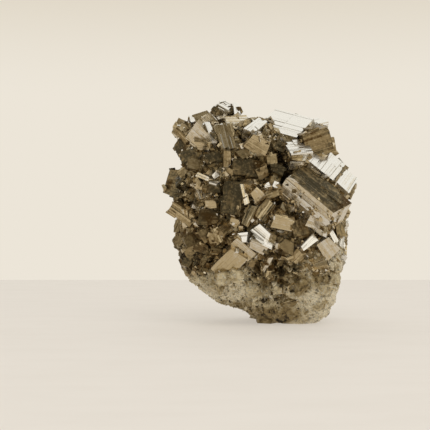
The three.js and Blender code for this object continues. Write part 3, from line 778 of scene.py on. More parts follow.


# Each row holds at, out, looks, edge, size and tone, as Crystal names them, and where
# it needs them grooves and side.
# A row's tone and side are partly tarnish and partly painted light and shade: faces that mirror
# the bright lights are set whiter, and faces that mirror dark surroundings, and faces in shade,
# are set browner.
FRONT_CRYSTALS: tuple[tuple[Any, ...], ...] = (
    # the large dark crystal at the right and its neighbours
    ((23.4, 59), 8, (0.3, -0.72, 0.63), -41, (25, 12.2, 15), DARK, ALONG, PALE),
    ((26.2, 71.8), 2.5, (0.49, -0.64, 0.59), -40, (17, 15.2, 10), WHITE, ACROSS),
    ((36.1, 62.9), 19.2, (0.49, -0.64, 0.59), -40, (6.8, 13, 14), WHITE, ACROSS),
    ((33.2, 65.9), 6.6, (0.49, -0.64, 0.59), 50, (15, 1.4, 8), UMBER, FEW),
    ((39, 59.5), 14, (0.75, -0.6, 0.2), 58, (9, 4, 10), BROWN),
    # top right
    ((23.7, 78.9), 10.5, (0.26, -0.95, -0.14), 19, (12.5, 11.5, 16), UMBER),
    ((29.5, 78), 14, (0.35, -0.92, -0.14), 18, (5.5, 7, 12), BROWN),
    ((10.2, 88.7), 5, (-0.1, -0.6, 0.79), -18, (20.5, 16.5, 16), WHITE),
    ((1.5, 88), -1.5, (-0.6, -0.78, 0.1), -68, (5.5, 1.5, 8), DARK),
    ((20.5, 88), 7, (0.1, -0.5, 0.86), 19, (19.5, 7, 12), WHITE),
    ((15, 77), 4.5, (0.1, -0.6, 0.79), 5, (10, 9, 8), WHITE),
    ((14, 73), 5, (0.4, -0.9, 0.1), 10, (5, 4, 7), BROWN),
    ((-3, 87), 3, (0.1, -0.62, 0.78), 40, (12, 5, 6), WHITE),
    # top left
    ((-16, 91), -1, (0.1, -0.95, 0.2), -5, (12, 9, 10), OLIVE, FEW),
    ((-19, 95.5), 0, (-0.15, -0.98, 0.1), 52, (8, 4.5, 8), UMBER),
    ((-15.5, 97.5), 0.5, (0.2, -0.63, 0.75), -32, (4.5, 4.5, 5), WHITE),
    ((-13.5, 95.5), 1, (0.2, -0.97, 0.1), -72, (4, 3, 5), DARK),
    ((-18, 92.5), 1, (-0.1, -0.63, 0.77), 21, (4, 4.5, 5), PALE),
    ((-11, 96), 0.5, (0.25, -0.63, 0.73), -82, (9, 2.5, 6), WHITE),
    ((-9, 95.5), 0.5, (0.6, -0.75, 0.2), -65, (3.5, 1.5, 5), DARK),
    ((-11, 90), 3, (0.1, -0.62, 0.78), 1, (10, 7, 14), PALE),
    ((-6.5, 88), 2, (0.45, -0.88, 0.1), 0, (4, 3, 5), BROWN),
    ((-28, 82), 5.5, (-0.3, -0.9, -0.3), -42, (8.2, 8.5, 18), PALE, FEW, BROWN),
    ((-25.5, 87), 19, (0.2, -0.7, 0.68), -61, (7.5, 2.5, 12), PALE),
    ((-22.5, 84), 4.5, (0.3, -0.63, 0.72), -69, (13, 2.5, 8), WHITE),
    ((-20, 82), 3.5, (0.5, -0.85, 0.15), -72, (4, 3, 7), DARK),
    ((-35, 82.5), 8, (-0.42, -0.85, -0.33), -46, (10, 3, 10), BROWN),
    ((-36, 78), 1, (-0.6, -0.78, 0.2), -53, (9, 6, 8), DARK, FEW),
    ((-35.5, 87), 0.5, (-0.4, -0.85, 0.35), -27, (9, 7.5, 8), OLIVE, FEW),
    ((-31, 91.5), 1.5, (0, -0.63, 0.78), -71, (6, 2, 5), WHITE),
    ((-23, 91.5), 3, (0, -0.63, 0.78), -43, (7, 4.5, 6), PALE),
    ((-24.5, 77.5), 0.5, (0, -0.85, -0.52), -5, (8.5, 3, 8), BEIGE, FEW),
    ((-27, 92.5), 1, (-0.1, -0.85, 0.5), 20, (7, 4.5, 8), OLIVE),
    ((-16.2, 81.5), 2, (0.12, -0.96, 0.22), -75, (11, 7, 9), OLIVE),
    # upper middle
    ((-2.5, 77.5), 2, (-0.1, -0.93, -0.35), -30, (9, 7.5, 8), OLIVE, FEW),
    ((-15.5, 72), 2, (0.2, -0.9, -0.4), 90, (7, 3.5, 6), BROWN, FEW),
    ((-21, 73), 2, (0.1, -0.95, 0.3), 10, (8, 4.5, 7), DARK),
    ((-7, 68.5), 2, (0.12, -0.97, 0.18), -3, (12, 7, 8), DARK, FEW, DARK),
    ((-13.5, 55.5), 3, (-0.12, -0.96, 0.22), 80, (14, 8, 9), DARK, FEW),
    ((-8, 57), 2.5, (0.45, -0.88, 0.12), -78, (8.5, 2.5, 4), PALE),
    ((-32.5, 74), 2, (-0.3, -0.9, 0.3), 20, (7, 5, 6), DARK, FEW),
    ((-29.5, 70), 1.5, (0.1, -0.95, 0.15), -10, (6, 4, 6), BROWN),
    ((-8.5, 74.5), 2, (0.2, -0.8, 0.5), 30, (5, 4, 6), BROWN),
    ((-7, 62.5), 2, (-0.2, -0.6, 0.75), -15, (5, 4, 5), BEIGE),
    ((-0.5, 66), 2, (0.35, -0.85, -0.35), 25, (5, 5, 6), BROWN),
    # left
    ((-38.5, 62.5), 2.5, (-0.5, -0.85, 0.15), -15, (10, 12, 10), UMBER, FEW),
    ((-26, 64.5), 2.5, (-0.42, -0.88, 0.2), -23, (6.5, 2, 6), PALE),
    ((-21, 62.5), 1.5, (0.1, -0.63, 0.77), -20, (4, 3, 5), WHITE),
    ((-27, 60), 2, (0, -0.9, -0.43), 45, (4, 4, 5), BEIGE, FEW),
    ((-21.5, 60.5), 2, (0.1, -0.97, 0.2), 0, (5, 5.5, 6), DARK, FEW),
    ((-35, 55.5), 3, (-0.2, -0.95, 0.25), -5, (8, 5, 7), DARK, FEW),
    ((-31, 57.5), 2, (0.3, -0.85, 0.3), 60, (5, 4, 6), BROWN),
    ((-35, 48.5), 6, (-0.3, -0.88, -0.36), -35, (12, 6, 8), BROWN),
    ((-33.5, 51.5), 5, (-0.1, -0.6, 0.8), -25, (5.5, 3, 5), BEIGE),
    ((-23.5, 47.5), 2, (0, -0.97, 0.25), 0, (8, 6.5, 8), DARK, FEW),
    ((-22.5, 52.5), 2, (0, -0.88, -0.48), 5, (4.5, 4, 5), BEIGE, FEW),
    ((-27.5, 44), 2, (0.3, -0.9, -0.3), -30, (4.5, 3, 5), PALE, FEW),
    ((-12.5, 45), 2, (0, -0.9, -0.43), -20, (4, 3.5, 5), BEIGE),
    ((-16.5, 42.5), 2, (0.3, -0.7, 0.6), 40, (5, 4, 5), BROWN),
    # middle
    ((-6.5, 48), 3, (-0.3, -0.9, 0.3), 65, (9, 3.5, 6), BROWN),
    ((-2.5, 56.5), 2, (0.2, -0.9, -0.3), -50, (6, 5, 6), BEIGE),
    ((3.5, 58), 2, (-0.38, -0.9, 0.2), 20, (6, 5, 6), BROWN, FEW),
    ((1.3, 60.8), 4, (-0.38, -0.9, 0.2), 20, (2.6, 2.2, 3), WHITE, FEW),
    ((5, 61), 4, (-0.38, -0.9, 0.2), 70, (2.4, 2.6, 3), WHITE, FEW),
    ((5.5, 64), 1, (0.4, -0.85, 0.3), 70, (6, 4, 6), BROWN),
    # lower left
    ((-19.5, 39.5), 2, (-0.4, -0.9, 0.1), -65, (7, 3, 6), BROWN),
    ((-36.5, 37.5), 2, (-0.6, -0.75, 0.25), 40, (7, 6, 7), UMBER, FEW),
    ((-30.5, 37.5), 1, (0.1, -0.95, 0.25), 15, (7, 5, 6), UMBER, FEW),
    ((-26.5, 34), 1, (-0.3, -0.85, -0.4), -25, (6, 5, 6), DARK, FEW),
    ((-32.5, 28.5), 0.5, (-0.4, -0.8, 0.4), 60, (6, 5, 6), UMBER, FEW),
    ((-25, 39.5), 1.5, (0.3, -0.9, 0.2), -60, (6, 4, 5), UMBER, FEW),
    ((-15, 27), 2.5, (-0.1, -0.84, -0.53), 46, (14.5, 9, 9), BEIGE, FEW),
    ((-18, 20.5), 3, (-0.2, -0.8, -0.3), 8, (10, 6, 8), BEIGE, FEW),
    ((-11, 21.5), 3, (0.1, -0.8, -0.2), -12, (8, 6, 7), BEIGE, FEW),
    # lower middle
    ((-9, 33.5), 2.5, (0.1, -0.9, -0.42), -41, (11.5, 5, 8), BEIGE),
    ((-10, 38.5), 3, (-0.4, -0.9, 0.17), 8, (6.5, 4, 6), WHITE),
    ((-6, 40.5), 2, (0.2, -0.97, 0.1), 85, (6, 2.5, 5), DARK),
    ((-1, 40.5), 5.5, (-0.4, -0.9, 0.17), -41, (8, 4.5, 8), WHITE),
    ((2.5, 39), 4.5, (0.3, -0.9, 0.3), -38, (5.5, 4.5, 8), BROWN),
    ((-1, 37), 6, (-0.38, -0.9, 0.2), -26, (10.5, 2.5, 8), WHITE),
    ((3, 36), 4, (0.3, -0.8, -0.5), -30, (4.5, 3.5, 5), PALE),
    ((-2.5, 34.5), 5.5, (-0.15, -0.86, -0.48), -24, (7.5, 4.5, 8), PALE, FEW),
    ((0, 50.5), 4, (-0.35, -0.92, 0.15), 55, (9, 5, 8), BROWN),
    ((3.5, 72), 1, (0.3, -0.95, 0.1), 5, (5, 4.5, 6), BROWN),
    # lower right
    ((8, 44.5), 4.5, (0.1, -0.88, -0.45), -13, (9.5, 6, 8), BEIGE, FEW),
    ((24, 44.5), 4.5, (0.3, -0.87, -0.38), -19, (12.5, 6, 8), PALE, FEW),
    ((15.5, 43), 4, (0.3, -0.93, 0.2), -70, (7, 6, 8), UMBER, FEW),
    ((19, 36.5), 4, (0.45, -0.88, 0.12), 40, (8.5, 3, 6), WHITE),
    ((33, 42.5), 3, (0.5, -0.85, 0.15), -80, (7, 4, 6), UMBER),
    ((30, 39), 2.5, (0.45, -0.88, 0.1), -61, (6, 2.5, 6), WHITE),
    ((27.5, 34), 2.5, (0.3, -0.87, -0.38), -50, (9.5, 7, 8), PALE, FEW),
    ((34.5, 38.5), 0.5, (0.7, -0.7, 0.05), 78, (8.5, 3.5, 6), WHITE),
    # small ones, and the lumps of the base
    ((23.5, 28.5), 1, (-0.2, -0.8, 0.5), 20, (6, 5, 6), BEIGE),
    ((10, 35), 2, (0.3, -0.9, 0.25), -30, (6, 5, 6), BROWN),
    ((14, 30.5), 1.5, (-0.4, -0.85, -0.3), 50, (6, 4, 6), BROWN),
    ((1.5, 27), 2, (0.3, -0.85, -0.4), 63, (7, 2, 8), PALE),
    ((5.5, 16), 1, (0, -0.9, -0.43), 0, (5, 4, 6), BEIGE),
    ((17.5, 19.5), 1, (0.3, -0.8, 0.5), 25, (6, 5, 6), BROWN),
    ((27, 16), 1, (0.5, -0.8, -0.3), -20, (7, 6, 7), BEIGE),
    ((-5, 18), 1, (-0.2, -0.75, 0.6), 10, (6, 4, 6), BEIGE),
    ((-22, 19.5), 0.5, (-0.4, -0.7, 0.5), -30, (6, 5, 6), BEIGE),
    ((32.5, 21.5), 0, (0.8, -0.55, 0.2), 10, (6, 6, 6), BEIGE),
    ((12, 9.5), 0.5, (0.1, -0.7, -0.7), 15, (8, 5, 6), BROWN),
    ((26.5, 8.5), 0, (0.7, -0.6, -0.3), 30, (7, 6, 7), BEIGE),
    ((-37, 44), 0.5, (-0.75, -0.6, 0.25), 75, (7, 5, 6), BROWN),
    ((-34.5, 67), 1, (-0.5, -0.8, 0.3), 35, (5, 4, 6), BROWN),
    ((-31, 32), 1, (-0.3, -0.9, -0.3), 30, (6, 5, 6), UMBER, FEW),
    ((-20, 33.5), 1, (0.2, -0.85, 0.5), -10, (5, 3, 5), UMBER, FEW),
    ((-12.5, 21.5), 0.5, (-0.2, -0.8, -0.55), 20, (6, 4, 5), BEIGE),
)

# Each row holds bearing, rise, out, turn, lean and size, as RoundCrystal names them.
ROUND_CRYSTALS: tuple[tuple[Any, ...], ...] = (
    (86, 2, 2.5, 20, (0.2, 0, 0.3), (21, 16, 12)),
    (58, 28, 3.5, 50, (0, 0.3, 0.2), (18, 14, 12)),
    (112, 32, 3, -15, (0.3, 0, 0.1), (16, 12, 12)),
    (130, -10, 4, 70, (0.3, 0.2, 0.2), (16, 12, 13)),
    (50, -14, 3, 10, (-0.2, 0.2, 0.3), (15, 13, 12)),
    (96, -32, 3, 35, (-0.2, 0.2, 0.4), (14, 11, 10)),
    (84, 60, 3, 5, (0.2, -0.2, 0), (17, 12, 11)),
    (30, 8, 2, 40, (0, -0.3, 0.2), (14, 12, 10)),
    (156, 14, 3, 25, (0, 0.4, 0.2), (14, 11, 10)),
    (12, -20, 0, 65, (0, 0.3, 0.3), (11, 9, 8)),
    (176, -10, 1.5, 15, (0, 0.2, -0.3), (12, 9, 8)),
    (52, -44, 1.5, 55, (0.3, 0, 0.2), (12, 10, 8)),
    (140, 46, 2.5, 30, (-0.2, 0.3, 0), (13, 10, 10)),
    (70, -4, 2, 80, (-0.3, 0, -0.2), (12, 9, 10)),
    (104, 14, 3.5, 60, (-0.3, 0, 0.3), (13, 10, 11)),
    (34, 40, 2, 15, (0.1, 0.3, -0.2), (12, 10, 9)),
    (110, -16, 2, 5, (0.1, 0, -0.4), (11, 8, 9)),
    (30, -30, 2, 30, (0.2, -0.3, 0.2), (12, 9, 9)),
)

FOOT_CRYSTALS = (
    FootCrystal((3, 19, 3.5), (13, 9, 9), 24),
    FootCrystal((2, -4, 1.5), (8, 6, 5), -20),
)


@dataclass(frozen=True)
class Dice:
    """Repeatable numbers from 0 to 1, from the same simple generator as the solid's."""

    seed: int = 7
    factor: int = 1664525
    addend: int = 1013904223
    modulus: int = 2**32

    def rows(self, count: int, length: int) -> Array:
        """Throw the dice.

        Each number is the last one times the factor plus the addend, modulo 2 ** 32.

        Args:
            count: how many rows there are.
            length: how many numbers a row has.

        Returns:
            The numbers, shaped (count, length).
        """
        state = self.seed
        numbers = []
        for _ in range(count * length):
            state = (state * self.factor + self.addend) % self.modulus
            numbers.append(state / self.modulus)
        return np.array(numbers).reshape(count, length)


@dataclass(frozen=True)
class ScatteredCrystals:
    """Middle-sized crystals spread evenly over the base on a golden spiral."""

    count: int = 90
    side: Pair = (3, 6)
    out: Pair = (0.4, 1.8)
    astray: float = 0.2      # how far a crystal may be from its even place
    tilt: float = 1.3
    lowest: float = -0.75    # the rise, from -1 to 1, below which there are none
    small_below: float = -0.4
    small: float = 0.6       # the size of those below that rise, as a share
    slender: float = 0.6     # the least width, as a share of the length
    depth: float = 1.2
    tones: tuple[Tone, ...] = (WHITE, BEIGE, BROWN, DARK)
    deals: int = 13          # how many tones are dealt out over the range of sizes
    darkest: float = 0.9
    stain_and_shade_gain: float = 2.0     # how strongly the stains and painted shade work on them

    def blocks(self, base: Base, taken: Sequence[Block]) -> list[Block]:
        """Place the crystals, leaving out those that sit where a larger one does.

        Crystal i of n has the height 1 - (2i + 1) / n on the unit sphere and goes on
        from the last one by the golden angle.

        Args:
            base: the base that they grow on.
            taken: the larger crystals.

        Returns:
            The placed crystals.
        """
        made = []
        middles = np.array([block.centre for block in taken])
        rooms = np.array([block.size[1] / 2 for block in taken])
        for i, dice in enumerate(Dice().rows(self.count, 10)):
            height = 1 - (2 * i + 1) / self.count
            ring = np.sqrt(1 - height * height)
            angle = i * np.pi * (3 - np.sqrt(5))
            even = np.array([ring * np.cos(angle), ring * np.sin(angle), height])
            direction = unit(even + self.astray * (dice[:3] - 0.5))
            looks = unit(self.tilt * (dice[3:6] - 0.5) + direction)
            side = between(self.side, dice[6])
            side *= self.small if direction[2] < self.small_below else 1
            centre = base.beyond(direction, between(self.out, dice[7]))
            near = np.linalg.norm(middles - centre, axis=-1) < rooms
            if direction[2] < self.lowest or near.any():
                continue
            width = side * (self.slender + (1 - self.slender) * dice[9])
            size = (side, width, side * self.depth)
            tone = self.tones[int(dice[6] * self.deals) % len(self.tones)].value
            # stains, partly painted shade in the hollows and under the lower edge
            stain_and_shade = self.stain_and_shade_gain * float(strength(STAINS_AND_SHADE, centre))
            tone = min(self.darkest, tone + stain_and_shade)
            turn = radial_turn(looks, dice[8] * np.pi)
            made.append(Block(size, turn, centre, tone, tone))
        return made


@dataclass(frozen=True)
class Steps:
    """Smaller crystals grown into a larger one, nearly in line with it.

    They sit at its edges and corners, a little lower or prouder than its broad face,
    so that its outline is stepped.
    """

    area: float = 24.0  # one for each so many square millimetres of the broad face
    most: int = 3
    clean: float = 0.6  # how many the whitest crystals have, as a share,
    plain: float = 0.5  # and those without grooves
    share: Pair = (0.25, 0.6)   # their length and width, as shares of the crystal's
    depth: Pair = (0.6, 0.9)    # their depth, as a share
    past: Pair = (0.1, 0.9)     # how far they reach past the edge, in mm
    rises: tuple[float, ...] = (-1.6, -0.8, 0.35, 0.5)  # over the broad face, in mm
    full_width: float = 10.0    # the width from which they rise as far as that
    lean: float = 0.035         # in radians

    def grown(self, rng: np.random.Generator, block: Block) -> list[Block]:
        """Grow them into a crystal.

        Args:
            rng: the source of chance.
            block: the crystal.

        Returns:
            The smaller crystals.
        """
        along, across, depth = block.size
        share = 1 if block.tone > NEARLY_WHITE else self.clean
        share *= between((self.plain, 1), block.ribbed)
        count = int(np.clip(along * across / self.area, 1, self.most) * share)
        made = []
        for _ in range(count):
            share = rng.uniform([self.share[0]] * 2, [self.share[1]] * 2)
            edge = rng.uniform(-1, 1, 2)
            edge[rng.integers(2)] = rng.choice([-1, 1])
            size = (along * share[0], across * share[1], depth * rng.uniform(*self.depth))
            reach = np.array([along, across]) * (1 - share) / 2 + rng.uniform(*self.past, 2)
            rise = rng.choice(self.rises) * min(1, across / self.full_width)
            place = block.centre + block.turn @ [*(edge * reach), rise]
            lean = block.turn @ rotation(rng.normal(0, self.lean, 3))
            made.append(Block(size, lean, place, block.tone, block.side, block.ribbed))
        return made


@dataclass(frozen=True)
class Treads:
    """A striated profile: flat treads at uneven levels with short slopes between.

    The treads' widths are gamma-distributed plus a least one, and with the slopes'
    they are scaled to fill the span. A level is minus the depth times the square of a
    random number, so most treads lie near the top.
    """

    pitch: float  # the mean width of a tread, in mm
    depth: float  # how deep the deepest tread lies, in mm
    shape: float = 1.6
    least: float = 0.15
    slope: Pair = (0.12, 0.3)
    tilt: float = 0.05  # a tread's rise, as a share of the pitch

    def profile(self, rng: np.random.Generator, span: float) -> tuple[Array, Array]:
        """Lay the treads over a span.

        Args:
            rng: the source of chance.
            span: the profile's length in mm.

        Returns:
            The places of the profile's points, from 0 to 1, and their heights in mm.
        """
        count = max(2, round(span / self.pitch))
        widths = np.empty(2 * count - 1)
        widths[0::2] = rng.gamma(self.shape, 1.0, count) + self.least
        widths[1::2] = rng.uniform(*self.slope, count - 1)
        places = np.concatenate([[0], np.cumsum(widths)]) / widths.sum()
        levels = -self.depth * rng.random(count) ** 2
        tilt = rng.normal(0, self.tilt, count) * self.pitch
        return places, np.stack([levels - tilt, levels + tilt], -1).ravel()


@dataclass(frozen=True)
class Corners:
    """Slanting planes that cut a block's outer corners.

    A plane's distance from the block's middle is a share of the farthest corner's,
    and a point beyond it moves back along the plane's normal.
    """

    cuts: int
    least: float
    most: float = 0.96
    larger: float = 0.14  # how much more the least share is on a large crystal
    large: Pair = (7, 16)  # the lengths between which a crystal becomes a large one
    tips: Triple = (0.35, 0.35, 0.25)  # the least parts of a normal

    def cut(self, rng: np.random.Generator, local: Array, size: Triple) -> Array:
        """Cut the corners.

        Args:
            rng: the source of chance.
            local: the block's points, with the broad face at z = 0.
            size: the block's lengths.

        Returns:
            The moved points.
        """
        half = np.array(size) / 2
        points = local + [0, 0, half[2]]
        least = self.least + self.larger * float(smooth(*self.large, size[0]))
        for _ in range(self.cuts):
            tip = rng.uniform(self.tips, 1) * rng.choice([-1, 1], 3)
            normal = unit([tip[0], tip[1], abs(tip[2])])
            reach = (abs(normal) * half).sum() * rng.uniform(least, self.most)
            excess = np.maximum(points @ normal - reach, 0)
            points = points - excess[:, None] * normal
        return points - [0, 0, half[2]]


@dataclass(frozen=True)
class Striated:
    """A closed crystal whose faces are cut by treads.

    A point (a, b, c) of the unit block's surface goes to x = (a - 1/2) along, pushed
    out at the ends by a profile of c; y = (b - 1/2) across, pushed by another profile
    of c; z = (c - 1) depth, pushed by a profile of b, which is mixed evenly with a
    second one beyond some value of a. So the broad face has straight grooves along its
    long edge and a low step across it, and the sides have grooves round the crystal.
    Then x and y are skewed a little by each other, and corners are cut.
    """

    block: Block
    pitch: float   # the mean width of a tread, in mm
    groove: float  # how deep the grooves are, in mm
    ribbed: float  # how far the treads differ in tone, as a share
    corners: Corners
    second: float = 1.4    # the second profile's pitch, as a share
    sides: float = 3.2     # the pitch on the long sides, as a share
    ends: Pair = (3.5, 0.8)  # the pitch and groove on the ends, as shares
    change: Pair = (0.2, 0.8)  # where along the crystal its profile changes
    change_over: float = 0.02
    cell: float = 2.8      # the mesh's step along the long edge, in mm
    taper: float = 0.03    # how much wider the crystal is at its root, as a share
    skew: Pair = (0.12, 0.03)  # how far small and large crystals are skewed
    large: Pair = (7, 13)  # the lengths between which a small one becomes a large one
    streak: float = 0.26   # how far one tread's tone is off another's
    slope: float = 0.2     # how much browner the slopes between them are: painted shade in the grooves
    contrast: Pair = (0.15, 4.2)  # how much of that shows on any face, and on a beige one

    def sheet(self, rng: np.random.Generator) -> Sheet:
        """Make the crystal's surface.

        Args:
            rng: the source of chance.

        Returns:
            The surface.
        """
        along, across, depth = self.block.size
        b, first = self.treads().profile(rng, across)
        second = np.interp(b, *self.treads(self.second).profile(rng, across))
        c, sides = self.treads(self.sides).profile(rng, depth)
        ends = np.interp(c, *self.treads(*self.ends).profile(rng, depth))
        change = rng.uniform(*self.change)
        a = np.linspace(0, 1, max(3, round(along / self.cell)))
        a = np.sort(np.append(a, [change, change + self.change_over]))
        picks, quads = shell((len(a), len(b), len(c)))
        i, j, k = picks.T
        changed = a[i] > change + self.change_over / 2
        lift = first[j] + 0.5 * changed * (second - first)[j]
        taper = 1 + self.taper * (1 - c[k])
        skew = rng.normal(0, between(self.skew, smooth(*self.large, along)), 2)
        ahead, aside = 2 * a[i] - 1, 2 * b[j] - 1
        x = (a[i] - 0.5) * along * (taper + skew[0] * aside) + ahead * ends[k]
        y = (b[j] - 0.5) * across * (taper + skew[1] * ahead) + aside * sides[k]
        z = (c[k] - 1) * depth + c[k] * lift
        local = self.corners.cut(rng, np.stack([x, y, z], -1), self.block.size)
        offset = rng.uniform(0, MAP_SPREAD)
        streak = rng.normal(0, self.streak, len(b) + len(c))
        # painted shade: the slopes between treads are set browner
        streak[1::2] += self.slope
        maps, tones = [], []
        for number, loop in enumerate(quads):
            run, rise = FACE_AXES[number]
            corner = local[loop]
            across_it = corner[..., rise] + MAP_GAP * number + offset
            maps.append(np.stack([corner[..., run] + offset, across_it], -1).reshape(-1, 2))
            tread = picks[loop[:, 0], 1 if number >= TOP else 2]
            tones.append(np.repeat(self.streaked(number == TOP, streak[tread]), 4))
        points = local @ self.block.turn.T + self.block.centre
        return Sheet(points, np.concatenate(quads), np.concatenate(maps), np.concatenate(tones))

    def treads(self, pitch: float = 1.0, groove: float = 1.0) -> Treads:
        """Treads with shares of the crystal's pitch and groove."""
        return Treads(pitch * self.pitch, groove * self.groove)

    def streaked(self, is_top: bool, streak: Array) -> Array:
        """The tones of a face's treads.

        They differ most on a face whose tone t is neither clean nor dark, because the
        contrast grows with t (1 - t) to the power of 3/2, and half as much on a side.

        Args:
            is_top: whether the face is the broad one.
            streak: how each tread differs.

        Returns:
            The tones.
        """
        tone = self.block.tone if is_top else self.block.side
        least, more = self.contrast
        amount = self.ribbed * (least + more * (tone * (1 - tone)) ** 1.5)
        return tone + amount * (1 if is_top else 0.5) * streak


@dataclass(frozen=True)
class LargeCrystals:
    """The placed crystals, each with smaller steps grown into it."""

    pitch: Pair = (0.55, 0.055)  # the least tread in mm, and one as a share of the width
    groove: Pair = (0.08, 0.02)  # the least groove in mm, and one as a share of the width
    clean: float = 0.3   # the depth of the whitest and brownest ones' grooves, as a share
    cuts: int = 2        # how many corners are cut, but none on the whitest
    least: float = 0.8   # how near the middle they are cut, as a share
    rough: float = 0.7   # browner crystals than this have more corners cut,
    rough_cuts: int = 4  # by this number
    ribbed_at: Pair = (5, 9)   # the lengths between which crystals become striated
    ribbed: float = 0.6        # how strongly a small one may be
    shallow: float = 0.4       # how deep its grooves are if it isn't, as a share
    steps: Steps = Steps()
    seed: int = 11

    def sheet(self, blocks: Sequence[Block]) -> Sheet:
        """Make the crystals' surface.

        Args:
            blocks: the crystals.

        Returns:
            One surface with all of them.
        """
        rng = np.random.default_rng(self.seed)
        stepped = [part for block in blocks for part in (block, *self.steps.grown(rng, block))]
        sheets = []
        for block in stepped:
            along, across, _ = block.size
            pitch = max(self.pitch[0], self.pitch[1] * across)
            groove = max(self.groove[0], self.groove[1] * across)
            is_white, is_rough = block.tone < PALE.value, block.tone > self.rough
            groove *= self.clean if is_white or is_rough else 1
            length = float(smooth(*self.ribbed_at, along))
            ribbed = block.ribbed * max(length, rng.uniform(0, self.ribbed))
            groove *= between((self.shallow, 1), ribbed)
            cuts = self.cuts * (block.tone > PALE.value) + self.rough_cuts * is_rough
            corners = Corners(cuts, self.least)
            sheets.append(Striated(block, pitch, groove, ribbed, corners).sheet(rng))
        return joined(sheets)


# ---- small crystals -----------------------------------------------------------


DRAWN_IN = 0.16  # how much narrower a small crystal's top may be, as a share
CRUMPLED = 0.07  # how far its corners are off, as a share
TILTED = 0.1     # the slope of its top


def plain_blocks(
    rng: np.random.Generator, sizes: Array, turns: Array, centres: Array, tones: Array
) -> Sheet:
    """Many small crystals at once, each a block with a slightly skewed top.

    Corner (a, b, c) of a unit block, with the top drawn in, sheared and tilted by
    chance, is scaled by the crystal's size, turned and moved.

    Args:
        rng: the source of chance.
        sizes: along, across and depth of each, shaped (n, 3).
        turns: their axes as columns, shaped (n, 3, 3).
        centres: the middles of their broad faces, shaped (n, 3).
        tones: how brown each one is.

    Returns:
        One surface with all of them.
    """
    picks, quads = shell((2, 2, 2))
    corners = picks - [0.5, 0.5, 1.0]
    count = len(sizes)
    top = corners[:, 2] + 1
    draw = 1 - top[None, :, None] * rng.uniform(0, DRAWN_IN, (count, 1, 2))
    local = np.broadcast_to(corners, (count, 8, 3)).copy()
    local[:, :, :2] *= draw
    local += rng.normal(0, CRUMPLED, local.shape)
    local *= sizes[:, None, :]
    tilt = rng.normal(0, TILTED, (count, 1, 2))
    local[:, :, 2] += (local[:, :, :2] * tilt).sum(-1) * top
    points = np.einsum("nij,nkj->nki", turns, local) + centres[:, None, :]
    maps = np.empty((count, 6, 4, 2))
    offsets = rng.uniform(0, MAP_SPREAD, (count, 1))
    for number, (quad,) in enumerate(quads):
        run, rise = FACE_AXES[number]
        maps[:, number, :, 0] = local[:, quad][:, :, run] + offsets
        maps[:, number, :, 1] = local[:, quad][:, :, rise] + offsets + MAP_GAP * number
    faces = np.concatenate(quads)[None] + 8 * np.arange(count)[:, None, None]
    corner_tones = np.repeat(tones, 24)
    return Sheet(points.reshape(-1, 3), faces.reshape(-1, 4), maps.reshape(-1, 2), corner_tones)


def turned(rng: np.random.Generator, normals: Array) -> Array:
    """Axes with the given normals and a random turn about each.

    Args:
        rng: the source of chance.
        normals: vectors of length one, shaped (n, 3).

    Returns:
        The axes as columns, shaped (n, 3, 3).
    """
    spare = unit(rng.normal(size=normals.shape))
    along = unit(np.cross(normals, spare))
    return np.stack([along, np.cross(normals, along), normals], -1)


# ---- the granular bed ---------------------------------------------------------


@dataclass(frozen=True)
class Hollow:
    """A pit between the crystals: its place, size and depth."""

    at: Pair
    size: Pair
    depth: float


@dataclass(frozen=True)
class Patch:
    """A patch of the near side where something is stronger or, below zero, weaker."""

    at: Pair
    size: Pair
    strength: float


STAINS_AND_SHADE = (  # where the cluster is browner, partly as tarnish and partly as painted shade in its hollows and under its lower edge, or lighter
    Patch((-39, 62), (10, 10), 0.35),
    Patch((-29, 34), (13, 13), 0.35),
    Patch((-31, 27), (8, 10), 0.2),
    Patch((4, 23), (12, 9), 0.3),
    Patch((17, 18), (5, 5), 0.25),
    Patch((8, 68), (8, 14), 0.35),
    Patch((-6, 67), (9, 6), 0.35),
    Patch((-13, 55), (8, 9), 0.25),
    Patch((10, 34), (8, 9), 0.1),
    Patch((-24, 74), (12, 6), 0.2),
    Patch((5, 3.5), (15, 5), 0.55),
    Patch((-13, 8), (11, 3), 0.3),
    Patch((26, 10), (13, 12), -0.35),
    Patch((-14, 17), (21, 6), -0.3),
    Patch((28, 32), (9, 10), -0.3),
    Patch((-12, 92), (9, 4), -0.25),
    Patch((-24, 90), (6, 6), -0.15),
    Patch((26, 20), (5, 4.5), 0.6),
)

CALM = (  # where the base is knobbly rather than granular
    Patch((28, 9), (9, 12), 0.9),
    Patch((33, 19), (5, 9), 0.95),
    Patch((5, 3), (14, 5), 0.9),
    Patch((31, 33), (6, 8), 0.6),
    Patch((-20, 14), (16, 6), 0.4),
)

NEAR_SIDE = (2.0, 16.0)  # how far back the patches fade out


def strength(patches: Sequence[Patch], points: Array) -> Array:
    """The sum of the patches' strengths at some points.

    Each patch is a flat-topped bell: exp of minus the fourth power of the distance
    from its middle, in its own sizes.

    Args:
        patches: the patches.
        points: the points, shaped (..., 3).

    Returns:
        The sums.
    """
    total = np.zeros(points.shape[:-1])
    for patch in patches:
        x = (points[..., 0] - patch.at[0]) / patch.size[0]
        z = (points[..., 2] - patch.at[1]) / patch.size[1]
        total += patch.strength * np.exp(-((x * x + z * z) ** 2))
    return total * (1 - smooth(*NEAR_SIDE, points[..., 1]))


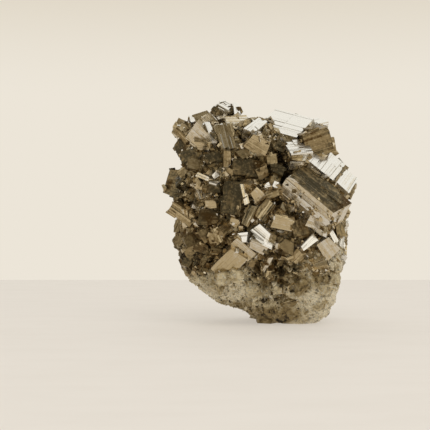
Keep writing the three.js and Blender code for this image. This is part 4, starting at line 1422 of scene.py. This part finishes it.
HOLLOWS = (
    Hollow((8, 74), (8, 10), 5.5),
    Hollow((9, 65), (7, 9), 5),
    Hollow((-8, 83), (7, 6), 5),
    Hollow((-2, 24), (7, 9), 2.5),
    Hollow((7.5, 24), (7, 8), 4.5),
    Hollow((3, 18), (10, 5), 2),
    Hollow((13, 21), (8, 8), 2.5),
    Hollow((31, 24), (3, 3), 2.5),
    Hollow((8.5, 12), (4, 3), 2.5),
    Hollow((8, 34), (7, 8), 3),
    Hollow((-6, 65), (9, 3), 2.5),
    Hollow((9.5, 51), (9, 7), 3.5),
)

CELL_PRIMES = np.array([73856093, 19349663, 83492791])
SEED_COUNT = 100003
SINE_FACTOR = 43758.5453
SINE_STEPS = (0.618, 0.317)  # a seed's factor for its first number, and more for each next


def cell_dice(cells: Array, count: int) -> list[Array]:
    """Repeatable numbers from 0 to 1 for each cell of a lattice.

    A cell's indices times three primes add up to its seed. A number is what is left
    after the point of a large multiple of the sine of that seed.

    Args:
        cells: whole numbers, shaped (n, 3).
        count: how many numbers each cell gets.

    Returns:
        The numbers, as count arrays of n.
    """
    seeds = cells @ CELL_PRIMES % SEED_COUNT
    waves = [np.sin(seeds * rising(SINE_STEPS, number)) for number in range(count)]
    return [np.modf(abs(wave * SINE_FACTOR))[0] for wave in waves]


@dataclass(frozen=True)
class Bed:
    """The base's surface, with hollows and a bed of cube corners on it."""

    base: Base
    hollows: tuple[Hollow, ...] = HOLLOWS
    hollows_to: float = 5.0     # how far back the hollows may lie
    points_a_side: int = 129
    spacing: float = 4.2
    grain: Pair = (0.24, 0.55)  # half a cube's side, as a share of the spacing
    fine: float = 0.45          # the finer cubes' spacing, as a share of the coarser one
    proud: float = 0.38         # how far a cube may stand out, as a share of the spacing
    sunk: float = 0.8           # how far the bed lies below the base's own surface
    knob: float = 1.3           # how far the knobs of the calm patches stand out
    calming: float = 0.45       # how much lower the cubes are there, as a share
    tone: float = 0.1
    deep_shade: float = 0.6      # painted shade: how much browner it is where it lies deep,
    deep: Pair = (0.2, 3.5)
    upper_shade: float = 0.35     # higher up, where it lies between the crystals,
    high: Pair = (22, 34)
    gap_shade: float = 0.5       # and between knobs
    gap: Pair = (0.1, 0.5)
    tone_limits: Pair = (-0.4, 1.0)

    def dent(self, points: Array) -> Array:
        """How far the hollows press the surface in.

        Each is a flat-bottomed, squarish bell, exp(-(u^4 + v^4)), and its place is
        wavered by sines so that its rim is uneven.

        Args:
            points: the surface's points, shaped (..., 3).

        Returns:
            The depths in mm.
        """
        x, y, z = np.moveaxis(points, -1, 0)
        across = x + 0.9 * np.sin(1.9 * z) + 0.6 * np.sin(0.8 * z + 2)
        upward = z + 0.9 * np.sin(1.7 * x + 1) + 0.6 * np.sin(0.7 * x)
        near = y < self.hollows_to
        deep = np.zeros(points.shape[:-1])
        for hollow in self.hollows:
            u = (across - hollow.at[0]) / (hollow.size[0] / 2)
            v = (upward - hollow.at[1]) / (hollow.size[1] / 2)
            deep = np.maximum(deep, near * hollow.depth * np.exp(-(u**4 + v**4)))
        return deep

    def knobs(self, points: Array) -> Array:
        """How far rounded knobs stand out.

        They are the square root of a product of two sines, which run along slanting
        axes and are wavered by sines of each other's axis.

        Args:
            points: the surface's points, shaped (..., 3).

        Returns:
            The shares, from 0 to 1.
        """
        x, y, z = np.moveaxis(points, -1, 0)
        level, steep = 0.75 * x + 0.66 * y, 0.85 * z - 0.45 * y + 0.3 * x
        across = np.sin((level + 1.6 * np.sin(0.45 * steep + 1)) / 2.7)
        upward = np.sin((steep + 1.6 * np.sin(0.5 * level)) / 2.4)
        return np.sqrt(abs(across * upward))

    def cubes(self, directions: Array, radius: Array, spacing: float) -> Array:
        """The surface raised by the cubes of a jittered lattice.

        Each lattice cell holds one cube at a random place, turn and size. A ray from
        the core leaves a cube at the least of the distances at which it crosses the
        far plane of each pair, if that lies beyond the greatest near distance. The
        surface is the farthest of the base and these exits.

        Args:
            directions: unit vectors.
            radius: the surface's radius before the cubes.
            spacing: the lattice's step in mm.

        Returns:
            The raised radius.
        """
        cell = np.floor(directions * radius[..., None] / spacing).astype(int)
        raised = radius.copy()
        limit = radius + self.proud * spacing
        for shift in np.ndindex(3, 3, 3):
            key = cell + np.array(shift) - 1
            dice = cell_dice(key, 7)
            centre = (key + np.stack(dice[:3], -1)) * spacing
            half = spacing * between(self.grain, dice[3])
            normal = unit(np.stack(dice[4:7], -1) - 0.5 + 0.02)
            side = unit(np.cross(normal, np.roll(normal, 1, -1) + [0.3, 0.1, -0.2]))
            enter = np.full(radius.shape, -np.inf)
            leave = np.full(radius.shape, np.inf)
            for axis in (normal, side, np.cross(normal, side)):
                speed = (directions * axis).sum(-1)
                speed = np.where(abs(speed) < NEARLY_ZERO, NEARLY_ZERO, speed)
                middle = (centre * axis).sum(-1) / speed
                reach = half / abs(speed)
                enter = np.maximum(enter, middle - reach)
                leave = np.minimum(leave, middle + reach)
            hit = (leave > enter) & (leave < limit)
            raised = np.where(hit, np.maximum(raised, leave), raised)
        return raised

    def tones(self, points: Array, depth: Array, gaps: Array) -> Array:
        """How brown the bed is.

        It is browner where it lies deep, higher up between the crystals and between knobs,
        which is painted shade, and in the stains, which are partly painted shade.

        Args:
            points: its points.
            depth: how far below the base's own surface they lie.
            gaps: how far into a gap between knobs they are, from 0 to 1.

        Returns:
            The tones.
        """
        # painted shade where the bed lies deep, high up between the crystals and between knobs
        tone = self.tone + self.deep_shade * smooth(*self.deep, depth)
        tone = tone + self.upper_shade * smooth(*self.high, points[:, 2])
        tone = tone + strength(STAINS_AND_SHADE, points) + self.gap_shade * gaps
        return np.clip(tone, *self.tone_limits)

    def sheet(self, blocks: Sequence[Block]) -> Sheet:
        """Make the surface.

        The outer points of a cubic grid are pushed onto a sphere, by the tangent of
        an even angle so that the cells stay alike, and each then goes to the radius
        in its direction. Where a crystal lies near the surface, the bed stays under
        it.

        Args:
            blocks: the crystals that stand on the bed.

        Returns:
            The surface.
        """
        picks, quads = shell((self.points_a_side,) * 3)
        span = 2 * picks / (self.points_a_side - 1) - 1
        directions = unit(np.tan(np.pi / 4 * span))
        plain = self.base.radius(directions)
        dented = self.dent(directions * plain[:, None] + self.base.core)
        start = plain - dented - self.sunk
        radius = self.cubes(directions, start, self.spacing)
        radius = self.cubes(directions, radius, self.fine * self.spacing)
        place = directions * start[:, None] + self.base.core
        calm, knobs = strength(CALM, place), self.knobs(place)
        radius = start + (radius - start) * (1 - self.calming * calm) + calm * self.knob * knobs
        for block in blocks:
            leave = block.exits(directions, self.base.core)
            under = np.minimum(radius, leave - EMBEDDED)
            radius = np.where(leave > plain - block.clears(), under, radius)
        points = directions * radius[:, None] + self.base.core
        loops = np.concatenate(quads)
        tone = self.tones(points, plain - radius, calm * (1 - smooth(*self.gap, knobs)))
        face_map = points[loops][..., [0, 2]].reshape(-1, 2)
        return Sheet(points, loops, face_map, tone[loops].ravel())


# ---- crowds of small crystals -------------------------------------------------


@dataclass(frozen=True)
class Crowd:
    """Thousands of small crystals strewn over the bed between two heights."""

    base: Base
    bed: Bed
    count: int
    side: Pair
    heights: Pair
    sharp: float = 3.0       # how fast the crowd thins out past those heights
    dip: float = 9.0         # how much lower it reaches in the middle of the near side
    dip_at: Pair = (8.0, 10.0)  # that middle and half its width
    calm: float = 0.9        # how far it thins out in the calm patches, as a share
    out: Pair = (-0.5, 0.8)  # how far a crystal of 1 mm may stand out,
    out_power: float = 0.6   # and others by their side to this power times as far
    perched: float = 0.4     # the share of them that may sit on another crystal
    small: float = 1.5       # of those smaller than this,
    strewn: float = 0.3      # a share stays on a placed crystal
    berth: float = 0.4       # the room left round a bare one, as a share of the side
    large: float = 7.5       # placed crystals at least this long are left bare,
    clean: float = 0.8       # unless they are browner than this
    tilt: float = 0.45
    width: tuple[Triple, Triple] = ((0.8, 0.5, 1.0), (1.3, 1.0, 1.4))  # shares of the side
    shares: tuple[float, ...] = (0.0, 0.2, 0.45, 0.7, 1.0)  # of the crowd, and their
    tones: tuple[float, ...] = (-0.1, 0.1, 0.35, 0.65, 1.0)  # tones
    hollow_shade: float = 0.3   # painted shade: how much browner they are in deep hollows
    hollow_depth: Pair = (1, 5)
    tone_limits: Pair = (-0.3, 1.0)
    seed: int = 23

    def welcomes(self, block: Block) -> bool:
        """Whether small crystals may sit on a placed one."""
        return max(block.size[:2]) < self.large or block.tone > self.clean

    def share(self, place: Array) -> Array:
        """How much of the crowd there is at some places.

        Args:
            place: points on the base's own surface.

        Returns:
            The shares, from 0 to 1.
        """
        centre, half = self.dip_at
        middle = np.exp(-(((place[:, 0] - centre) / half) ** 2)) * (place[:, 1] < 0)
        height = place[:, 2] + self.dip * middle
        low, high = self.heights
        share = smooth(low - self.sharp, low + self.sharp, height)
        share *= 1 - smooth(high - self.sharp, high + self.sharp, height)
        return share * (1 - self.calm * strength(CALM, place))

    def sheet(self, placed: Sequence[Block], scattered: Sequence[Block]) -> Sheet:
        """Strew the crystals evenly, leaving the placed ones bare.

        A point on the unit sphere is a normalised Gauss triple. Its side is the least
        one plus the range times a random number cubed, so most are small.

        Args:
            placed: the crystals placed one by one.
            scattered: the middle-sized ones.

        Returns:
            One surface with all the small crystals.
        """
        rng = np.random.default_rng(self.seed)
        directions = unit(rng.normal(size=(self.count, 3)))
        plain = self.base.radius(directions)
        place = directions * plain[:, None] + self.base.core
        deep = self.bed.dent(place) + self.bed.sunk
        side = between(self.side, rng.random(self.count) ** 3)
        out = rng.uniform(*self.out, self.count) * side**self.out_power
        radius = plain - deep
        bare = rng.random(self.count) > self.share(place)
        may_perch = rng.random(self.count) < self.perched
        for block in placed:
            hit = block.exits(directions, self.base.core) > radius - block.clears()
            left = (side < self.small) & (rng.random(self.count) < self.strewn)
            bare |= hit & ~(self.welcomes(block) & left)
        for block in (*scattered, *placed):
            if self.welcomes(block):
                leave = block.exits(directions, self.base.core)
                radius = np.where(may_perch, np.maximum(radius, leave - EMBEDDED), radius)
        centres = directions * (radius + out)[:, None] + self.base.core
        keep = ~bare & (centres[:, 2] > LOWEST_MIDDLE)
        for block in placed:
            if not self.welcomes(block):
                keep &= ~block.holds(centres, self.berth * side)
        kept = int(keep.sum())
        normals = unit(directions + self.tilt * rng.normal(size=directions.shape))[keep]
        sizes = side[keep, None] * rng.uniform(*self.width, (kept, 3))
        tones = np.interp(rng.random(kept), self.shares, self.tones)
        # painted shade in the deep hollows
        tones = tones + self.hollow_shade * smooth(*self.hollow_depth, deep[keep])
        # stains, partly painted shade in the hollows and under the lower edge
        tones = np.clip(tones + strength(STAINS_AND_SHADE, centres[keep]), *self.tone_limits)
        return plain_blocks(rng, sizes, turned(rng, normals), centres[keep], tones)


@dataclass(frozen=True)
class Flanks:
    """Small crystals that cling to the sides of larger ones, under their edges."""

    density: float = 0.28      # how many there are on a square millimetre of the sides,
    fewest: int = 2            # beside these on each
    side: Pair = (0.7, 2.6)
    least_drop: float = 0.9    # how far below the broad face the highest ones sit
    slope: Pair = (-0.2, 0.8)  # how far they face up, before chance turns them
    chance: float = 0.4
    tones: tuple[float, ...] = (0.0, 0.2, 0.4, 0.65, 0.9)
    width: tuple[Triple, Triple] = ((0.8, 0.5, 1.0), (1.4, 1.0, 1.6))  # shares of the side
    out: float = 0.3           # how far they stand out, as a share of the side
    buried: float = 0.3        # those that lie this deep in a larger one are left out
    seed: int = 31

    def sheet(self, blocks: Sequence[Block]) -> Sheet:
        """Set small crystals round each larger one at random heights below its face.

        Args:
            blocks: the larger crystals.

        Returns:
            One surface with all the small ones.
        """
        rng = np.random.default_rng(self.seed)
        centres, turns, sides, tones = [], [], [], []
        for block in blocks:
            along, across, depth = block.size
            count = int((along + across) * depth * self.density) + self.fewest
            angle = rng.uniform(0, 2 * np.pi, count)
            round_it = np.stack([np.cos(angle), np.sin(angle)], -1)
            edge = round_it / abs(round_it).max(-1, keepdims=True) * [along / 2, across / 2]
            deepest = max(depth, 2 * self.least_drop)
            drop = rng.uniform(self.least_drop, deepest, count)
            outward = np.column_stack([round_it, rng.uniform(*self.slope, count)])
            outward = unit(outward + rng.normal(0, self.chance, (count, 3)))
            centres.append(np.column_stack([edge, -drop]) @ block.turn.T + block.centre)
            turns.append(turned(rng, outward @ block.turn.T))
            sides.append(between(self.side, rng.random(count) ** 2))
            tones.append(rng.choice(self.tones, count))
        centres, turns = np.concatenate(centres), np.concatenate(turns)
        side = np.concatenate(sides)
        # stains, partly painted shade in the hollows and under the lower edge
        tone = np.clip(np.concatenate(tones) + strength(STAINS_AND_SHADE, centres), 0, 1)
        keep = centres[:, 2] > LOWEST_MIDDLE
        for block in blocks:
            keep &= ~block.holds(centres, -self.buried)
        sizes = side[keep, None] * rng.uniform(*self.width, (keep.sum(), 3))
        centres = centres[keep] + self.out * turns[keep][:, :, 2] * side[keep, None]
        return plain_blocks(rng, sizes, turns[keep], centres, tone[keep])


# ---- the cluster --------------------------------------------------------------


@dataclass(frozen=True)
class Cluster:
    """The whole cluster: a base, its crystals from large to small, and two finishes."""

    base: Base = Base()
    faces: CrystalFinish = CrystalFinish()
    grit: GranularFinish = GranularFinish()

    def build(self) -> None:
        """Make the eight pieces.

        Front and scattered crystals low on the base, and its feet, are dull lumps
        with many corners cut. The others are striated.
        """
        shiny, dull = self.faces.material(), self.grit.material()
        front = [Crystal(*row).block(self.base) for row in FRONT_CRYSTALS]
        around = [RoundCrystal(*row).block(self.base) for row in ROUND_CRYSTALS]
        feet = [foot.block() for foot in FOOT_CRYSTALS]
        scattered = ScatteredCrystals().blocks(self.base, front)
        placed = front + around + feet
        upper_front, low_front = parted(front)
        upper_scattered, low_scattered = parted(scattered)
        lumps = feet + low_front + low_scattered
        flanked, _ = parted(placed + scattered)
        bed = Bed(self.base)
        crystals = Crowd(self.base, bed, count=22000, side=(0.8, 3.2), heights=(24, 110))
        grains = Crowd(
            self.base, bed, count=30000, side=(0.6, 1.7), heights=(-10, 34), sharp=8.0, seed=29)
        worn = LargeCrystals(cuts=16, least=0.58, seed=19)
        coarse = LargeCrystals(pitch=(0.8, 0.07), seed=13)
        add_piece("granular_bed", bed.sheet(placed + scattered), dull)
        add_piece("front_crystals", LargeCrystals().sheet(upper_front), shiny)
        add_piece("base_lumps", worn.sheet(lumps), dull)
        add_piece("round_crystals", coarse.sheet(around), shiny)
        add_piece("scattered_crystals", LargeCrystals(seed=17).sheet(upper_scattered), shiny)
        add_piece("small_crystals", crystals.sheet(placed, scattered), shiny)
        add_piece("grains", grains.sheet(placed, scattered), dull)
        add_piece("flank_crystals", Flanks().sheet(flanked), shiny)


def parted(blocks: Sequence[Block]) -> tuple[list[Block], list[Block]]:
    """Part crystals into those of the upper cluster and those low on the base.

    Args:
        blocks: the crystals.

    Returns:
        The upper and the low ones, each in the given order.
    """
    upper = [block for block in blocks if block.centre[2] >= LUMPS_BELOW]
    return upper, [block for block in blocks if block.centre[2] < LUMPS_BELOW]


# ---- the studio ---------------------------------------------------------------


@dataclass(frozen=True)
class Surroundings:
    """What the metal mirrors, as a colour for each direction, and the backdrop.

    Straight up and behind is a large soft white light, the far side is cream, the near
    side is dark with two narrow lights, and the sides are in between. What the camera
    sees directly is the cream backdrop alone.
    """

    far: Color = (0.72, 0.68, 0.6, 1)
    middle: Color = (0.46, 0.42, 0.34, 1)
    sides: Color = (0.34, 0.31, 0.25, 1)
    near: Color = (0.14, 0.118, 0.08, 1)
    ceiling: Color = (0.3, 0.28, 0.235, 1)
    softbox: Color = (1.08, 1.08, 1.06, 1)
    card: Color = (1.2, 1.16, 1.07, 1)
    card_at: Triple = (0.84, -0.5, 0.02)
    window: Color = (1.15, 1.12, 1.06, 1)
    window_at: Triple = (-0.72, -0.6, 0.3)
    backdrop_low: Triple = (236, 229, 216)
    backdrop_high: Triple = (205, 193, 170)

    def build(self) -> None:
        """Make the world.

        Each step lays one more colour over the directions that it is for.
        """
        world = bpy.data.worlds.new("studio")
        bpy.context.scene.world = world
        graph = Graph(world)
        way = graph.coordinates("Generated")
        right = graph.along(way, (1, 0, 0))
        back = graph.along(way, (0, 1, 0))
        up = graph.along(way, (0, 0, 1))
        at_sides = graph.step(right * right, 0.42, 0.6) * graph.step(up, -0.5, 0.2)
        at_near = (1 - graph.step(back, -0.86, -0.7)) * graph.step(up, -0.25, -0.1)
        at_softbox = graph.step(up, 0.33, 0.45) * graph.step(back, 0.02, 0.12)
        at_card = graph.step(graph.along(way, self.card_at), 0.85, 0.9)
        at_window = graph.step(graph.along(way, self.window_at), 0.945, 0.965)
        color = graph.mix(graph.step(back, -0.2, 0.1), self.middle, self.far)
        color = graph.mix(at_sides, color, self.sides)
        color = graph.mix(at_near, color, self.near)
        color = graph.mix(graph.step(up, 0.3, 0.4), color, self.ceiling)
        color = graph.mix(at_softbox, color, self.softbox)
        color = graph.mix(at_card, color, self.card)
        color = graph.mix(at_window, color, self.window)
        haze = graph.step(up, 0.1, 0.32)
        seen = graph.mix(haze, rgb(*self.backdrop_low), rgb(*self.backdrop_high))
        direct = graph.node("ShaderNodeLightPath", output="Is Camera Ray")
        values = {"Color": graph.mix(direct, color, seen), "Strength": 1.0}
        light = graph.node("ShaderNodeBackground", {}, values)
        graph.node("ShaderNodeOutputWorld", {}, {"Surface": light})


@dataclass(frozen=True)
class FillLight:
    """A wide light in front and above, which the metal doesn't mirror."""

    at: Triple = (0.3, -1.0, 1.3)  # in metres, as is its size
    size: float = 1.5
    power: float = 16.0

    def build(self) -> None:
        """Make the light, facing the cluster."""
        data = bpy.data.lights.new("fill", "AREA")
        data.shape = "SQUARE"
        data.size = self.size
        data.energy = self.power
        made = bpy.data.objects.new("fill", data)
        made.location = self.at
        x, y, z = unit(self.at)
        made.rotation_euler = (np.arccos(z), 0, np.arctan2(x, -y))
        made.visible_glossy = False
        bpy.context.scene.collection.objects.link(made)


@dataclass(frozen=True)
class Floor:
    """A plain pale slab whose top is at z = 0.

    Part of its brightness is a glow of its own, which keeps the contact shadow soft.
    """

    low: Triple = (-1.5, -2.0, -0.05)  # its corners, in metres
    high: Triple = (1.5, 0.32, 0.0)
    color: Triple = (143, 138, 131)
    cloud: Triple = (125, 118, 108)
    glow: Triple = (181, 175, 166)
    cloud_scale: float = 25.0
    cloud_stretch: Triple = (1.0, 2.5, 1.0)
    cloud_at: Pair = (0.35, 0.75)
    cloud_strength: float = 0.25
    roughness: float = 0.8

    def material(self) -> bpy.types.Material:
        """Make the faintly clouded finish.

        Returns:
            The new material.
        """
        made = bpy.data.materials.new("floor")
        graph = Graph(made)
        place = graph.scaled(graph.coordinates(), self.cloud_stretch)
        clouds = graph.step(graph.noise(place, self.cloud_scale, 5.0, 0.6), *self.cloud_at)
        tint = graph.mix(clouds * self.cloud_strength, rgb(*self.color), rgb(*self.cloud))
        graph.dress({
            "Base Color": tint, "Roughness": self.roughness,
            "Emission Color": rgb(*self.glow), "Emission Strength": 1.0})
        return made

    def build(self) -> None:
        """Make the slab, as a part of the stage."""
        picks, quads = shell((2, 2, 2))
        low, high = np.array(self.low), np.array(self.high)
        mesh = bpy.data.meshes.new("floor")
        mesh.from_pydata(low + picks * (high - low), [], np.concatenate(quads))
        mesh.materials.append(self.material())
        made = bpy.data.objects.new("floor", mesh)
        bpy.context.scene.collection.objects.link(made)


@dataclass(frozen=True)
class Camera:
    """A level camera in front of the cluster."""

    at: Triple = (-19.81, -495.16, 48.15)
    lens: float = 92.09
    sensor: float = 36.0
    nearest: float = 0.01  # in metres

    def build(self) -> None:
        """Make the camera and look through it."""
        data = bpy.data.cameras.new("camera")
        data.lens = self.lens
        data.sensor_width = self.sensor
        data.clip_start = self.nearest
        made = bpy.data.objects.new("camera", data)
        made.location = np.array(self.at) * METRES
        made.rotation_euler = (np.pi / 2, 0, 0)
        bpy.context.scene.collection.objects.link(made)
        bpy.context.scene.camera = made


def main() -> None:
    """Build the cluster's pieces and the studio round it."""
    logging.basicConfig(level=logging.INFO)
    for part in (Cluster(), Surroundings(), FillLight(), Floor(), Camera()):
        log.info("building the %s", type(part).__name__)
        part.build()
    bpy.context.scene.view_settings.view_transform = "Standard"


if __name__ == "__main__":
    main()
